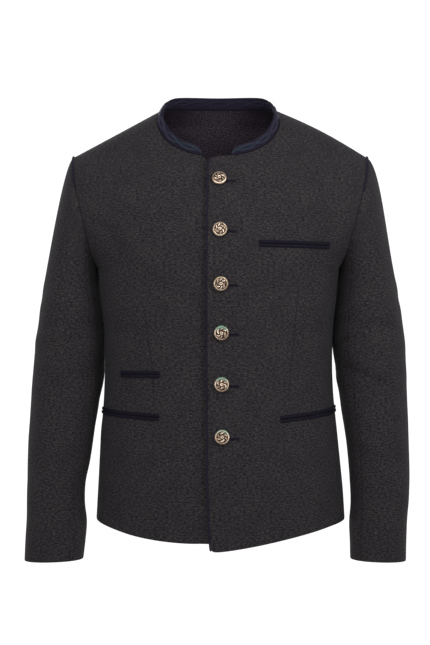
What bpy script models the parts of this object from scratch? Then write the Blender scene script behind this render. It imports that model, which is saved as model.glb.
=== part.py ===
"""Trachten jacket: a wool jacket with a low stand collar, filled out as if worn.

The origin is the middle of the neck opening, level with the points where collar and shoulder
seams meet. +X is the wearer's left, the front faces -Y and +Z is up. Sizes are in metres.
Every panel is a grid of points: a row runs from the centre of the jacket to its side, and the
rows go up from the hem to the shoulder seam. The wearer's right half is built at +X as well
and then mirrored.
"""

import math

import bmesh
import bpy
from mathutils import Vector
from mathutils.bvhtree import BVHTree

CLOTH = 0.0020          # wall of the wool panels
LINING = 0.0010         # wall of the lining
COLLAR_WALL = 0.0026    # wall of the collar at its seam
SEAM = 0.0003           # gap between two pieces that meet
OVERLAP_DROP = 0.0031   # how far the right front lies below the left one
NECK_DROP = 0.0018      # and how much further at the neck
NECK_DROP_FROM = -0.190
NECK_DROP_TO = -0.095

ROWS = 22               # rows from the hem to the shoulder seam
SIDE_ROWS = 11          # of these, rows up the side seam
ARM_ROWS = ROWS - SIDE_ROWS
EDGE_ROWS = 15          # rows up the front edge to the neck
CENTRE_ROWS = 17        # rows up the centre back to the neck
COLUMNS = 10            # columns from the centre to the side
LEAD_COLUMNS = 2        # columns of a fixed width beside the centre
LEAD_WIDTH = 0.0225

HEM_FRONT_LEFT = -0.6895
HEM_FRONT_RIGHT = -0.674
HEM_BACK = -0.652
HEM_SIDE = -0.650
HEM_DROP_LEFT = 1.25    # how late the left hem rises towards the side
HEM_DROP_RIGHT = 3.0
HEM_DROP_BACK = 2.0
UNDERARM = -0.250
NECK_FRONT = -0.0775
NECK_BACK = 0.011
SHOULDER_SWELL = {"left": 0.0055, "right": 0.0005}    # rise of the shoulder seam's middle
SHOULDER_IN = {"left": 0.0, "right": 0.0055}          # how much shorter the shoulder is
COLLAR_END = {"left": 15.0, "right": 19.0}            # turn of the neckline where it ends

UNDERLAP_X = 0.022      # reach of the right front under the left one, past the centre
UNDERLAP_FULL = 0.024   # the right front lies low up to here on its own side
UNDERLAP_NONE = 0.070
HEM_CUT = 0.0020        # rounding of the left front's lower corner
NECK_CUT = 0.0035       # and of its upper corner
SLANT_X = 0.012         # the right front's top edge slants down from the collar to here
SLANT_Z = -0.088

LINING_ROWS = 12        # first row of the back that is lined
PIPING_RADIUS = 0.0012
ARMHOLE_PIPING_RADIUS = 0.0014
ARMHOLE_PIPING_ROWS = 4

BUTTON_SIDES = 14

WELT_WIDTH = 0.0110
WELT_STEP = 0.0125      # length of one section of a welt
PROBE = 0.05            # height above the cloth from which its face is looked up
SHARP_EDGE = 40.0       # degrees from which an edge is shaded sharp
PIPING_ROUNDING = 2     # extra points on each quarter of a piping


def table(columns, *rows):
    """A table with named columns, the first of them the running value."""
    return {name: [row[k] for row in rows] for k, name in enumerate(columns.split())}


# Depth of the centre front and how square its rows are, by height.
FRONT = table(
    "height depth square",
    (-0.690, -0.136, 0.86),
    (-0.600, -0.136, 0.86),
    (-0.500, -0.129, 0.88),
    (-0.420, -0.124, 0.88),
    (-0.330, -0.127, 0.84),
    (-0.240, -0.131, 0.80),
    (-0.170, -0.122, 0.80),
    (-0.120, -0.1035, 0.82),
    (-0.0775, -0.0795, 0.85),
)

BACK = table(
    "height depth square",
    (-0.650, 0.116, 0.86),
    (-0.570, 0.114, 0.86),
    (-0.500, 0.103, 0.88),
    (-0.420, 0.092, 0.88),
    (-0.340, 0.098, 0.85),
    (-0.260, 0.110, 0.80),
    (-0.180, 0.116, 0.78),
    (-0.100, 0.110, 0.78),
    (-0.040, 0.097, 0.80),
    (0.011, 0.081, 0.85),
)

# The side seams, by height: half width of the wearer's left and right half, and depth.
SIDE = table(
    "height left right y",
    (-0.650, 0.2020, 0.1955, 0.008),
    (-0.605, 0.1992, 0.1930, 0.008),
    (-0.573, 0.1962, 0.1913, 0.008),
    (-0.541, 0.1930, 0.1898, 0.009),
    (-0.509, 0.1898, 0.1882, 0.009),
    (-0.477, 0.1864, 0.1850, 0.010),
    (-0.445, 0.1836, 0.1832, 0.010),
    (-0.400, 0.1822, 0.1820, 0.011),
    (-0.350, 0.1835, 0.1832, 0.012),
    (-0.300, 0.1880, 0.1880, 0.012),
    (-0.250, 0.1935, 0.1935, 0.012),
)

# The overlapping edge of the left front.
EDGE = table(
    "height x",
    (-0.690, -0.0120),
    (-0.600, -0.0155),
    (-0.450, -0.0170),
    (-0.250, -0.0172),
    (-0.0775, -0.0150),
)

# The neckline: turn 0 is the centre front, 90 the shoulder seam and 180 the centre back.
NECKLINE = table(
    "turn x y z",
    (-20, -0.0300, -0.0785, -0.0770),
    (0, 0.0000, -0.0795, -0.0775),
    (20, 0.0300, -0.0780, -0.0745),
    (40, 0.0610, -0.0680, -0.0650),
    (60, 0.0860, -0.0460, -0.0460),
    (75, 0.0975, -0.0230, -0.0200),
    (90, 0.0935, 0.0060, 0.0010),
    (110, 0.0820, 0.0350, 0.0075),
    (130, 0.0620, 0.0590, 0.0100),
    (150, 0.0360, 0.0745, 0.0110),
    (180, 0.0000, 0.0810, 0.0110),
    (210, -0.0360, 0.0745, 0.0110),
)

# The armhole: turn 0 is the shoulder seam, 90 the front, 180 the underarm, 270 the back.
# wrap is how far round the body a row has come when it meets the armhole there.
ARMHOLE = table(
    "turn x y z wrap",
    (-30, 0.2340, 0.050, -0.090, 36),
    (0, 0.2370, 0.012, -0.0725, 30),
    (30, 0.2370, -0.018, -0.084, 37),
    (60, 0.2325, -0.046, -0.112, 48),
    (90, 0.2225, -0.063, -0.150, 57),
    (120, 0.2110, -0.060, -0.195, 66),
    (150, 0.2010, -0.034, -0.232, 77),
    (180, 0.1935, 0.012, -0.250, 90),
    (210, 0.2000, 0.056, -0.236, 77),
    (240, 0.2090, 0.081, -0.203, 66),
    (270, 0.2170, 0.088, -0.160, 56),
    (300, 0.2260, 0.078, -0.120, 46),
    (330, 0.2340, 0.050, -0.090, 36),
    (360, 0.2370, 0.012, -0.0725, 30),
    (390, 0.2370, -0.018, -0.084, 37),
)

# Where the sleeve leaves the armhole, and how far it holds its direction at either end.
SLEEVE_HEAD = table(
    "turn x y z start end",
    (0, 0.93, 0.00, -0.37, 0.070, 0.24),
    (30, 0.95, -0.10, -0.28, 0.062, 0.22),
    (60, 0.95, -0.22, -0.20, 0.056, 0.18),
    (90, 0.90, -0.30, -0.30, 0.048, 0.13),
    (120, 0.72, -0.25, -0.64, 0.038, 0.08),
    (150, 0.38, -0.10, -0.92, 0.022, 0.04),
    (180, 0.16, 0.00, -0.99, 0.012, 0.02),
    (210, 0.38, 0.10, -0.92, 0.022, 0.04),
    (240, 0.72, 0.25, -0.64, 0.038, 0.08),
    (270, 0.90, 0.30, -0.30, 0.048, 0.13),
    (300, 0.95, 0.22, -0.20, 0.056, 0.18),
    (330, 0.95, 0.10, -0.28, 0.062, 0.22),
    (360, 0.93, 0.00, -0.37, 0.070, 0.24),
)

# A sleeve below its head: the outer and inner side, the middle and depth from front to back,
# and how far the ring tilts up at its outer side.
LEFT_SLEEVE = table(
    "drop z outer inner middle depth tilt",
    (0, -0.274, 0.2835, 0.1932, 0.020, 0.160, 0.17),
    (1, -0.312, 0.2915, 0.1885, 0.020, 0.158, 0.15),
    (2, -0.348, 0.2960, 0.1851, 0.019, 0.153, 0.12),
    (3, -0.381, 0.2995, 0.1862, 0.018, 0.148, 0.10),
    (4, -0.430, 0.3020, 0.1915, 0.014, 0.140, 0.08),
    (5, -0.462, 0.3025, 0.1970, 0.010, 0.134, 0.06),
    (6, -0.494, 0.3035, 0.2005, 0.005, 0.128, 0.05),
    (7, -0.526, 0.3040, 0.2045, 0.000, 0.123, 0.04),
    (8, -0.558, 0.3045, 0.2075, -0.005, 0.118, 0.03),
    (9, -0.590, 0.3045, 0.2095, -0.009, 0.114, 0.02),
    (10, -0.623, 0.3030, 0.2105, -0.013, 0.110, 0.00),
    (11, -0.655, 0.3000, 0.2080, -0.016, 0.107, -0.02),
    (12, -0.687, 0.2985, 0.2090, -0.018, 0.104, -0.03),
    (13, -0.713, 0.2980, 0.2095, -0.019, 0.103, -0.03),
)

RIGHT_SLEEVE = table(
    "drop z outer inner middle depth tilt",
    (0, -0.274, 0.2785, 0.1932, 0.020, 0.160, 0.17),
    (1, -0.312, 0.2855, 0.1885, 0.020, 0.158, 0.15),
    (2, -0.348, 0.2895, 0.1851, 0.019, 0.154, 0.12),
    (3, -0.381, 0.2940, 0.1850, 0.018, 0.149, 0.10),
    (4, -0.430, 0.2985, 0.1865, 0.015, 0.141, 0.08),
    (5, -0.462, 0.3005, 0.1930, 0.011, 0.135, 0.06),
    (6, -0.494, 0.3020, 0.1970, 0.006, 0.129, 0.05),
    (7, -0.526, 0.3040, 0.2010, 0.001, 0.124, 0.04),
    (8, -0.558, 0.3045, 0.2055, -0.004, 0.119, 0.03),
    (9, -0.590, 0.3050, 0.2120, -0.008, 0.115, 0.02),
    (10, -0.623, 0.3055, 0.2130, -0.012, 0.111, 0.00),
    (11, -0.655, 0.3060, 0.2095, -0.015, 0.108, -0.02),
    (12, -0.687, 0.3075, 0.2120, -0.017, 0.105, -0.03),
    (13, -0.713, 0.3085, 0.2150, -0.018, 0.104, -0.03),
)

# Soft folds of the sleeves. depth is positive where the cloth bulges out.
SLEEVE_FOLDS = table(
    "z turn depth height width",
    (-0.405, 150, -0.0040, 0.016, 45),
    (-0.437, 120, -0.0045, 0.014, 40),
    (-0.372, 40, 0.0020, 0.018, 40),
    (-0.470, 220, 0.0025, 0.020, 45),
    (-0.640, 300, -0.0030, 0.018, 50),
)

# The collar leans in towards the neck while it rises.
COLLAR = table(
    "turn lean rise",
    (0, 0.0095, 0.0145),
    (40, 0.0105, 0.0145),
    (60, 0.0105, 0.0135),
    (75, 0.0090, 0.0125),
    (90, 0.0075, 0.0120),
    (110, 0.0075, 0.0170),
    (130, 0.0060, 0.0190),
    (180, 0.0040, 0.0195),
)
COLLAR_LEVELS = ((0.0, 1.0), (0.55, 1.0), (1.0, 0.7))    # share of the height, of the wall
COLLAR_END_HEIGHT = 0.45                               # share of the height at its ends

# Half the outline of a button from its face down to the foot of its shank: radius, height.
BUTTON_PROFILE = (
    (0.0000, 0.0082),
    (0.0026, 0.0077),
    (0.0040, 0.0064),
    (0.0058, 0.0068),
    (0.0090, 0.0058),
    (0.0115, 0.0040),
    (0.0112, 0.0028),
    (0.0032, 0.0022),
    (0.0026, 0.0000),
    (0.0000, 0.0000),
)

# The buttons from the neck down: where their middles lie beside the centre, and how high.
BUTTONS = (
    (0.0010, -0.1147),
    (0.0020, -0.1939),
    (0.0034, -0.2771),
    (0.0043, -0.3530),
    (0.0047, -0.4326),
    (0.0053, -0.5132),
)

# Cross-section of a welt, two soft cords side by side: share of half its width, height.
WELT_PROFILE = (
    (-1.00, 0.0006),
    (-0.86, 0.0019),
    (-0.50, 0.0026),
    (-0.14, 0.0019),
    (0.00, 0.0011),
    (0.14, 0.0019),
    (0.50, 0.0026),
    (0.86, 0.0019),
    (1.00, 0.0006),
)

# Pocket welts: which half, where the inner end lies, length and rise towards the side.
WELTS = (
    ("chest_welt", "left", 0.0620, -0.2150, 0.124, -0.002),
    ("ticket_welt", "right", 0.0908, -0.4176, 0.070, 0.000),
    ("hip_welt_left", "left", 0.0953, -0.4870, 0.150, 0.014),
    ("hip_welt_right", "right", 0.0918, -0.4840, 0.150, 0.008),
)

SEAM_FRONT = 8          # column of the sleeve's forearm seam
SEAM_BACK = 14          # column of its hind seam
HEAD_RINGS = 5          # rings between the armhole and the first ring of the table
RING_SQUARE = 0.92      # exponent of a sleeve's ring, 1 for an ellipse

COLOURS = {
    "wool": ((0.030, 0.029, 0.031, 1.0), 0.95, 0.0),
    "navy": ((0.010, 0.010, 0.024, 1.0), 0.85, 0.0),
    "lining": ((0.021, 0.016, 0.023, 1.0), 0.60, 0.0),
    "metal": ((0.300, 0.200, 0.110, 1.0), 0.40, 1.0),
}


def read(tab, column, at):
    """Value of a column on the smooth curve through the table where its first column is at."""
    keys = next(iter(tab.values()))
    values = tab[column]
    last = len(keys) - 1
    k = 0
    while k < last - 1 and at > keys[k + 1]:
        k += 1
    span = keys[k + 1] - keys[k]
    part = min(max((at - keys[k]) / span, 0.0), 1.0)

    def slope(n):
        low = max(n - 1, 0)
        high = min(n + 1, last)
        return (values[high] - values[low]) / (keys[high] - keys[low])

    square = part * part
    cube = square * part
    return (
        values[k] * (2 * cube - 3 * square + 1)
        + slope(k) * span * (cube - 2 * square + part)
        + values[k + 1] * (3 * square - 2 * cube)
        + slope(k + 1) * span * (cube - square)
    )


def place(tab, at):
    """The point of a table of points."""
    return Vector((read(tab, "x", at), read(tab, "y", at), read(tab, "z", at)))


def mix(low, high, part):
    return low + (high - low) * part


def smooth(low, high, at):
    """0 below low, 1 above high and a soft step between."""
    part = min(max((at - low) / (high - low), 0.0), 1.0)
    return part * part * (3.0 - 2.0 * part)


# Panels of the body

def row_points(start, end, wrap, square, drop, profile, hold):
    """One row of a panel, from its start near the centre to its end at side or armhole.

    Where the row sinks or climbs, it keeps to the depth that the profile has at that height,
    as far as hold says.
    """
    reach = math.sin(wrap)
    lead = [start.x + k * LEAD_WIDTH for k in range(LEAD_COLUMNS + 1)]
    angles = [math.asin(x * reach / end.x) for x in lead]
    rest = COLUMNS - LEAD_COLUMNS
    angles += [mix(angles[LEAD_COLUMNS], wrap, k / rest) for k in range(1, rest + 1)]
    first = math.cos(angles[0]) ** square
    last = max(math.cos(wrap), 0.0) ** square
    base = max(start.x, 0.0)
    points = []
    for angle in angles:
        x = end.x * math.sin(angle) / reach
        depth = (max(math.cos(angle), 0.0) ** square - last) / (first - last)
        along = (max(x, 0.0) - base) / (end.x - base)
        z = mix(start.z, end.z, along ** drop)
        fuller = hold * (read(profile, "depth", z) - read(profile, "depth", start.z))
        points.append(Vector((x, mix(end.y, start.y, depth) + fuller * depth, z)))
    return points


def armhole_point(side, turn):
    """A point of the armhole, and how far round the body a row has come there."""
    point = place(ARMHOLE, turn)
    point.x -= SHOULDER_IN[side] * math.cos(math.radians(turn) / 2) ** 2
    return point, math.radians(read(ARMHOLE, "wrap", turn))


def side_end(side, row, hind):
    """End of a row at the side seam or the armhole, and its wrap."""
    if row <= SIDE_ROWS:
        height = mix(HEM_SIDE, UNDERARM, row / SIDE_ROWS)
        return Vector((read(SIDE, side, height), read(SIDE, "y", height), height)), math.pi / 2
    step = (row - SIDE_ROWS) * 180.0 / ARM_ROWS
    return armhole_point(side, 180.0 + step if hind else 180.0 - step)


def swell_shoulder(grid, side, first):
    """Raise the middle of the shoulder seam, less and less in the rows below it."""
    for j in range(first, ROWS + 1):
        row = grid[j]
        share = smooth(first, ROWS, j)
        for point in row:
            along = (point.x - row[0].x) / (row[-1].x - row[0].x)
            point.z += SHOULDER_SWELL[side] * share * math.sin(math.pi * along)


def hem_blend(drop, row):
    """The hem's own drop fades out a third of the way up."""
    return mix(drop, 1.0, smooth(0, ROWS / 3, row))


def front_grid(side):
    """Outer points of a front, at +X for either half."""
    right = side == "right"
    hem = HEM_FRONT_RIGHT if right else HEM_FRONT_LEFT
    drop = HEM_DROP_RIGHT if right else HEM_DROP_LEFT
    grid = []
    for row in range(ROWS + 1):
        if row <= EDGE_ROWS:
            z = mix(hem, NECK_FRONT, row / EDGE_ROWS)
            x = -UNDERLAP_X if right else read(EDGE, "x", z)
            if right and row == EDGE_ROWS:
                x, z = SLANT_X, SLANT_Z
            start = Vector((x, read(FRONT, "depth", z), z))
            square = read(FRONT, "square", z)
        else:
            turn = mix(COLLAR_END[side], 90.0, (row - EDGE_ROWS - 1) / (ROWS - EDGE_ROWS - 1))
            start = place(NECKLINE, turn)
            square = FRONT["square"][-1]
        end, wrap = side_end(side, row, hind=False)
        hold = min(1.0, (ROWS - row) / (ROWS - EDGE_ROWS))
        grid.append(row_points(start, end, wrap, square, hem_blend(drop, row), FRONT, hold))
    swell_shoulder(grid, side, EDGE_ROWS)
    if right:
        for row in grid:
            for point in row:
                low = OVERLAP_DROP + NECK_DROP * smooth(NECK_DROP_FROM, NECK_DROP_TO, point.z)
                point.y += low * (1.0 - smooth(UNDERLAP_FULL, UNDERLAP_NONE, point.x))
    else:
        grid[0][0] += Vector((0.0, 0.0, HEM_CUT))
        grid[EDGE_ROWS][0] += Vector((NECK_CUT, 0.0, -NECK_CUT))
    return grid


def back_grid(side):
    """Outer points of half the back, at +X for either half."""
    grid = []
    for row in range(ROWS + 1):
        if row <= CENTRE_ROWS:
            z = mix(HEM_BACK, NECK_BACK, row / CENTRE_ROWS)
            start = Vector((0.0, read(BACK, "depth", z), z))
            square = read(BACK, "square", z)
        else:
            turn = mix(180.0, 90.0, (row - CENTRE_ROWS) / (ROWS - CENTRE_ROWS))
            start = place(NECKLINE, turn)
            square = BACK["square"][-1]
        end, wrap = side_end(side, row, hind=True)
        drop = hem_blend(HEM_DROP_BACK, row)
        hold = min(1.0, (ROWS - row) / (ROWS - CENTRE_ROWS))
        grid.append(row_points(start, end, wrap, square, drop, BACK, hold))
    swell_shoulder(grid, side, EDGE_ROWS)
    return grid


def grid_normals(grid, sign):
    """A unit normal at each point of a grid, from its neighbours."""
    top = len(grid) - 1
    end = len(grid[0]) - 1
    normals = []
    for j, row in enumerate(grid):
        line = []
        for i in range(end + 1):
            across = row[min(i + 1, end)] - row[max(i - 1, 0)]
            up = grid[min(j + 1, top)][i] - grid[max(j - 1, 0)][i]
            line.append(across.cross(up).normalized() * sign)
        normals.append(line)
    return normals


def share_seams(front, back):
    """Give both sides of the side seam and the shoulder seam one normal."""
    for j in range(SIDE_ROWS + 1):
        both = (front[j][-1] + back[j][-1]).normalized()
        front[j][-1] = both
        back[j][-1] = both.copy()
    for i in range(COLUMNS + 1):
        both = (front[-1][i] + back[-1][i]).normalized()
        front[-1][i] = both
        back[-1][i] = both.copy()


def flatten_centre(normals):
    """The centre back seam stays in the plane of symmetry."""
    for line in normals[:CENTRE_ROWS + 1]:
        line[0].x = 0.0
        line[0].normalize()


def pulled(grid, sides):
    """A copy of a grid whose named sides draw back by half a seam."""
    copy = [[point.copy() for point in row] for row in grid]

    def draw(j, i, towards_j, towards_i):
        away = grid[towards_j][towards_i] - grid[j][i]
        copy[j][i] += away.normalized() * SEAM / 2

    top = len(grid) - 1
    end = len(grid[0]) - 1
    for j in range(top + 1):
        if "first" in sides:
            draw(j, 0, j, 1)
        if "last" in sides:
            draw(j, end, j, end - 1)
    for i in range(end + 1):
        if "top" in sides:
            draw(top, i, top - 1, i)
    return copy


def moved(grid, normals, distance):
    """The points of a grid moved along their normals."""
    return [[p + n * distance for p, n in zip(row, line)] for row, line in zip(grid, normals)]


def mirrored(grid):
    return [[Vector((-p.x, p.y, p.z)) for p in row] for row in grid]


# Meshes and materials

def material(name):
    found = bpy.data.materials.get(name)
    if found:
        return found
    colour, roughness, metallic = COLOURS[name]
    made = bpy.data.materials.new(name)
    made.use_nodes = True
    shader = made.node_tree.nodes["Principled BSDF"]
    shader.inputs["Base Color"].default_value = colour
    shader.inputs["Roughness"].default_value = roughness
    shader.inputs["Metallic"].default_value = metallic
    made.diffuse_color = colour
    return made


def add_object(name, data, finish):
    piece = bpy.data.objects.new(name, data)
    data.materials.append(material(finish))
    bpy.data.collections["trachten_jacket"].objects.link(piece)
    return piece


def triangles(rows, columns):
    """Corner numbers of the triangles of a grid, each cell cut along the same diagonal."""
    faces = []
    for j in range(rows - 1):
        for i in range(columns - 1):
            k = j * columns + i
            faces.append((k, k + 1, k + 1 + columns))
            faces.append((k, k + 1 + columns, k + columns))
    return faces


def wall(name, outer, inner, finish):
    """A closed wall between two grids of the same shape."""
    rows = len(outer)
    columns = len(outer[0])
    mesh = bmesh.new()
    skins = [[[mesh.verts.new(p) for p in row] for row in grid] for grid in (outer, inner)]
    for skin in skins:
        points = [vertex for row in skin for vertex in row]
        for corners in triangles(rows, columns):
            mesh.faces.new([points[k] for k in corners])
    rim = [(0, i) for i in range(columns)]
    rim += [(j, columns - 1) for j in range(1, rows)]
    rim += [(rows - 1, i) for i in range(columns - 2, -1, -1)]
    rim += [(j, 0) for j in range(rows - 2, 0, -1)]
    for (j, i), (j2, i2) in zip(rim, rim[1:] + rim[:1]):
        mesh.faces.new((skins[0][j][i], skins[0][j2][i2], skins[1][j2][i2], skins[1][j][i]))
    bmesh.ops.recalc_face_normals(mesh, faces=mesh.faces)
    data = bpy.data.meshes.new(name)
    mesh.to_mesh(data)
    mesh.free()
    data.shade_smooth()
    data.set_sharp_from_angle(angle=math.radians(SHARP_EDGE))
    return add_object(name, data, finish)


def tube(name, points, radius, finish):
    """A round piping through points."""
    curve = bpy.data.curves.new(name, "CURVE")
    curve.dimensions = "3D"
    curve.bevel_depth = radius
    curve.bevel_resolution = PIPING_ROUNDING
    curve.use_fill_caps = True
    line = curve.splines.new("POLY")
    line.points.add(len(points) - 1)
    for knot, point in zip(line.points, points):
        knot.co = (*point, 1.0)
    return add_object(name, curve, finish)


# Sleeves

def armhole_rim(front, front_normals, back, back_normals):
    """Round the armhole from the shoulder seam over the front: point, normal, way out."""
    loop = [(front[j][-1], front_normals[j][-1], front[j][-2]) for j in range(ROWS, SIDE_ROWS, -1)]
    loop += [(back[j][-1], back_normals[j][-1], back[j][-2]) for j in range(SIDE_ROWS, ROWS)]
    rim = []
    for k, (point, normal, inside) in enumerate(loop):
        along = loop[(k + 1) % len(loop)][0] - loop[k - 1][0]
        out = normal.cross(along).normalized()
        if k == ARM_ROWS:
            inside = front[SIDE_ROWS - 1][-1]
        if out.dot(point - inside) < 0.0:
            out = -out
        rim.append((point, normal, out))
    return rim


def fold_at(z, turn):
    """How far the sleeve's cloth stands out or sinks in at a place."""
    total = 0.0
    for z0, turn0, depth, height, width in zip(*SLEEVE_FOLDS.values()):
        away = (turn - turn0 + 180.0) % 360.0 - 180.0
        total += depth * math.exp(-((z - z0) / height) ** 2 - (away / width) ** 2)
    return total


def ring_point(tab, drop, turn):
    """A point of the sleeve below its head."""
    angle = math.radians(turn)
    outer, inner = read(tab, "outer", drop), read(tab, "inner", drop)
    z = read(tab, "z", drop)
    fold = fold_at(z, turn)
    across = math.copysign(abs(math.cos(angle)) ** RING_SQUARE, math.cos(angle))
    along = math.copysign(abs(math.sin(angle)) ** RING_SQUARE, math.sin(angle))
    half = (outer - inner) / 2
    x = (outer + inner) / 2 + (half + fold) * across
    y = read(tab, "middle", drop) - (read(tab, "depth", drop) / 2 + fold) * along
    return Vector((x, y, z + read(tab, "tilt", drop) * half * across))


def sleeve_grid(tab, rim):
    """Outer and inner points of a sleeve: a row is a ring, from the armhole to the cuff."""
    count = len(rim)
    turns = [360.0 * k / count for k in range(count)]
    leaves, ends = [], []
    first_out, first_in = [], []
    for (point, normal, out), turn in zip(rim, turns):
        leave = place(SLEEVE_HEAD, turn).normalized()
        bend = max(math.atan2(leave.dot(normal), leave.dot(out)), 0.0)
        facing = normal * math.cos(bend) - out * math.sin(bend)
        begin = point + (out * math.cos(bend / 2) + normal * math.sin(bend / 2)) * SEAM
        first_out.append(begin)
        first_in.append(begin - facing * CLOTH)
        leaves.append(leave)
        ends.append(ring_point(tab, 0, turn))
    rings = [first_out]
    for step in range(1, HEAD_RINGS):
        part = step / HEAD_RINGS
        square, cube = part ** 2, part ** 3
        ring = []
        for begin, leave, end, turn in zip(first_out, leaves, ends, turns):
            arrive = (ring_point(tab, 1, turn) - end).normalized() * read(SLEEVE_HEAD, "end", turn)
            ring.append(
                begin * (2 * cube - 3 * square + 1)
                + leave * read(SLEEVE_HEAD, "start", turn) * (cube - 2 * square + part)
                + end * (3 * square - 2 * cube)
                + arrive * (cube - square)
            )
        rings.append(ring)
    rings += [[ring_point(tab, drop, turn) for turn in turns] for drop in tab["drop"]]
    inner = [first_in]
    for j in range(1, len(rings)):
        line = []
        for i in range(count):
            across = rings[j][(i + 1) % count] - rings[j][i - 1]
            down = rings[min(j + 1, len(rings) - 1)][i] - rings[j - 1][i]
            line.append(rings[j][i] + down.cross(across).normalized() * CLOTH)
        inner.append(line)
    return rings, inner


def cut_columns(grid, first, last):
    """Columns of a ring grid from first to last, going round where first is the larger."""
    count = len(grid[0])
    steps = (last - first) % count
    return [[row[(first + k) % count] for k in range(steps + 1)] for row in grid]


def build_sleeve(side, tab, rim):
    outer, inner = sleeve_grid(tab, rim)
    if side == "right":
        outer, inner = mirrored(outer), mirrored(inner)
    for part, first, last in (("upper", SEAM_BACK, SEAM_FRONT), ("under", SEAM_FRONT, SEAM_BACK)):
        skins = [pulled(cut_columns(skin, first, last), ("first", "last")) for skin in (outer, inner)]
        wall(f"sleeve_{side}_{part}", skins[0], skins[1], "wool")


# Collar

def neck_rim(grid, normals, first):
    """Points along the neckline of a panel: point, normal, and the way out to the neck."""
    rim = []
    for j in range(first, ROWS + 1):
        point = grid[j][0]
        along = grid[min(j + 1, ROWS)][0] - grid[j - 1][0] if j > first else grid[j + 1][0] - point
        out = normals[j][0].cross(along).normalized()
        if out.dot(point - grid[j][1]) < 0.0:
            out = -out
        rim.append((point, normals[j][0], out))
    return rim


def collar_half(front, front_normals, back, back_normals, collar_end):
    """Sections of half the collar from its front end to the centre back."""
    fore = neck_rim(front, front_normals, EDGE_ROWS + 1)
    hind = neck_rim(back, back_normals, CENTRE_ROWS)
    fore_turns = [mix(collar_end, 90.0, k / (len(fore) - 1)) for k in range(len(fore))]
    hind_turns = [mix(180.0, 90.0, k / (len(hind) - 1)) for k in range(len(hind))]
    rim = list(zip(fore, fore_turns)) + list(zip(hind, hind_turns))[-2::-1]
    sections = []
    for k, ((point, normal, out), turn) in enumerate(rim):
        inward = Vector((-point.x, -point.y, 0.0)).normalized()
        height = inward * read(COLLAR, "lean", turn) + Vector((0.0, 0.0, read(COLLAR, "rise", turn)))
        if k == 0:
            height *= COLLAR_END_HEIGHT
        rise = height.normalized()
        bend = max(math.atan2(rise.dot(normal), rise.dot(out)), 0.0)
        facing = normal * math.cos(bend) - out * math.sin(bend)
        foot = point + (out * math.cos(bend / 2) + normal * math.sin(bend / 2)) * SEAM
        outer = [foot + height * share for share, _ in COLLAR_LEVELS]
        inner = [p - facing * COLLAR_WALL * wide for p, (_, wide) in zip(outer, COLLAR_LEVELS)]
        sections.append((outer, inner))
    return sections


def build_collar(left, right):
    """Both halves meet at the centre back in one piece."""
    flipped = [mirrored(section) for section in right]
    sections = flipped + left[-2::-1]
    wall("collar", [outer for outer, _ in sections], [inner for _, inner in sections], "navy")


# Trim

def build_edge_piping(front):
    """Navy edging along the overlapping edge, level with the middle of the wall."""
    points = []
    for row in front[:EDGE_ROWS + 1]:
        edge = row[0]
        aside = Vector((-SEAM - PIPING_RADIUS, CLOTH / 2, 0.0))
        points.append(edge + aside)
    tube("front_edge_piping", points, PIPING_RADIUS, "navy")


def build_armhole_piping(side, rim):
    """Piping on the front of the armhole seam, from the shoulder seam down."""
    points = []
    for k in range(ARMHOLE_PIPING_ROWS + 1):
        point, normal, out = rim[k]
        turn = 180.0 * k / ARM_ROWS
        leave = place(SLEEVE_HEAD, turn).normalized()
        bend = math.atan2(leave.dot(normal), leave.dot(out))
        facing = normal * math.cos(bend) - out * math.sin(bend)
        proud = (normal + facing).normalized()
        lift = (ARMHOLE_PIPING_RADIUS + SEAM) / max(math.cos(bend / 2), 0.5)
        points.append(point + proud * lift)
    if side == "right":
        points = mirrored([points])[0]
    tube(f"armhole_piping_{side}", points, ARMHOLE_PIPING_RADIUS, "navy")


class Surface:
    """The outer face of a front, on which trim is laid."""

    def __init__(self, grid, normals):
        self.points = [point for row in grid for point in row]
        self.normals = [normal for row in normals for normal in row]
        self.faces = triangles(len(grid), len(grid[0]))
        self.tree = BVHTree.FromPolygons(self.points, self.faces)

    def hit(self, origin, direction):
        """Point and soft normal where a line meets the face."""
        point, _, face, _ = self.tree.ray_cast(origin, direction)
        if point is None:
            raise ValueError(f"nothing of the front lies beyond {origin}")
        normal = Vector()
        for k in self.faces[face]:
            normal += self.normals[k] / (point - self.points[k]).length
        return point, normal.normalized()


def welt_feet(surface, x, z, length, rise):
    """Where a welt's sections stand on the cloth: points across it, normal and lift of each."""
    point, normal = surface.hit(Vector((x, -1.0, z)), Vector((0.0, 1.0, 0.0)))
    steps = round(length / WELT_STEP)
    sections = []
    for step in range(steps + 1):
        sideways = Vector((0.0, 0.0, 1.0)).cross(normal).normalized()
        along = (sideways + Vector((0.0, 0.0, rise / length))).normalized()
        up = normal.cross(along)
        feet = []
        for share, _ in WELT_PROFILE:
            above = point + up * share * WELT_WIDTH / 2 + normal * PROBE
            feet.append(surface.hit(above, -normal)[0])
        sections.append((feet, normal))
        if step < steps:
            point, normal = surface.hit(point + along * WELT_STEP + normal * PROBE, -normal)
    lifts = [SEAM] * len(sections)
    for k in range(steps):
        (feet, normal), (ahead, _) = sections[k:k + 2]
        for foot, other in zip(feet, ahead):
            middle = (foot + other) / 2
            ridge = surface.hit(middle + normal * PROBE, -normal)[0]
            needed = SEAM + (ridge - middle).dot(normal)
            lifts[k] = max(lifts[k], needed)
            lifts[k + 1] = max(lifts[k + 1], needed)
    return sections, lifts


def build_welt(name, side, surface, x, z, length, rise):
    """A pocket welt that starts at x and z and follows the cloth towards the side."""
    sections, lifts = welt_feet(surface, x, z, length, rise)
    outer, inner = [], []
    for (feet, normal), lift in zip(sections, lifts):
        inner.append([foot + normal * lift for foot in feet])
        outer.append([p + normal * height for p, (_, height) in zip(inner[-1], WELT_PROFILE)])
    if side == "right":
        outer, inner = mirrored(outer), mirrored(inner)
    wall(name, outer, inner, "navy")


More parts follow.
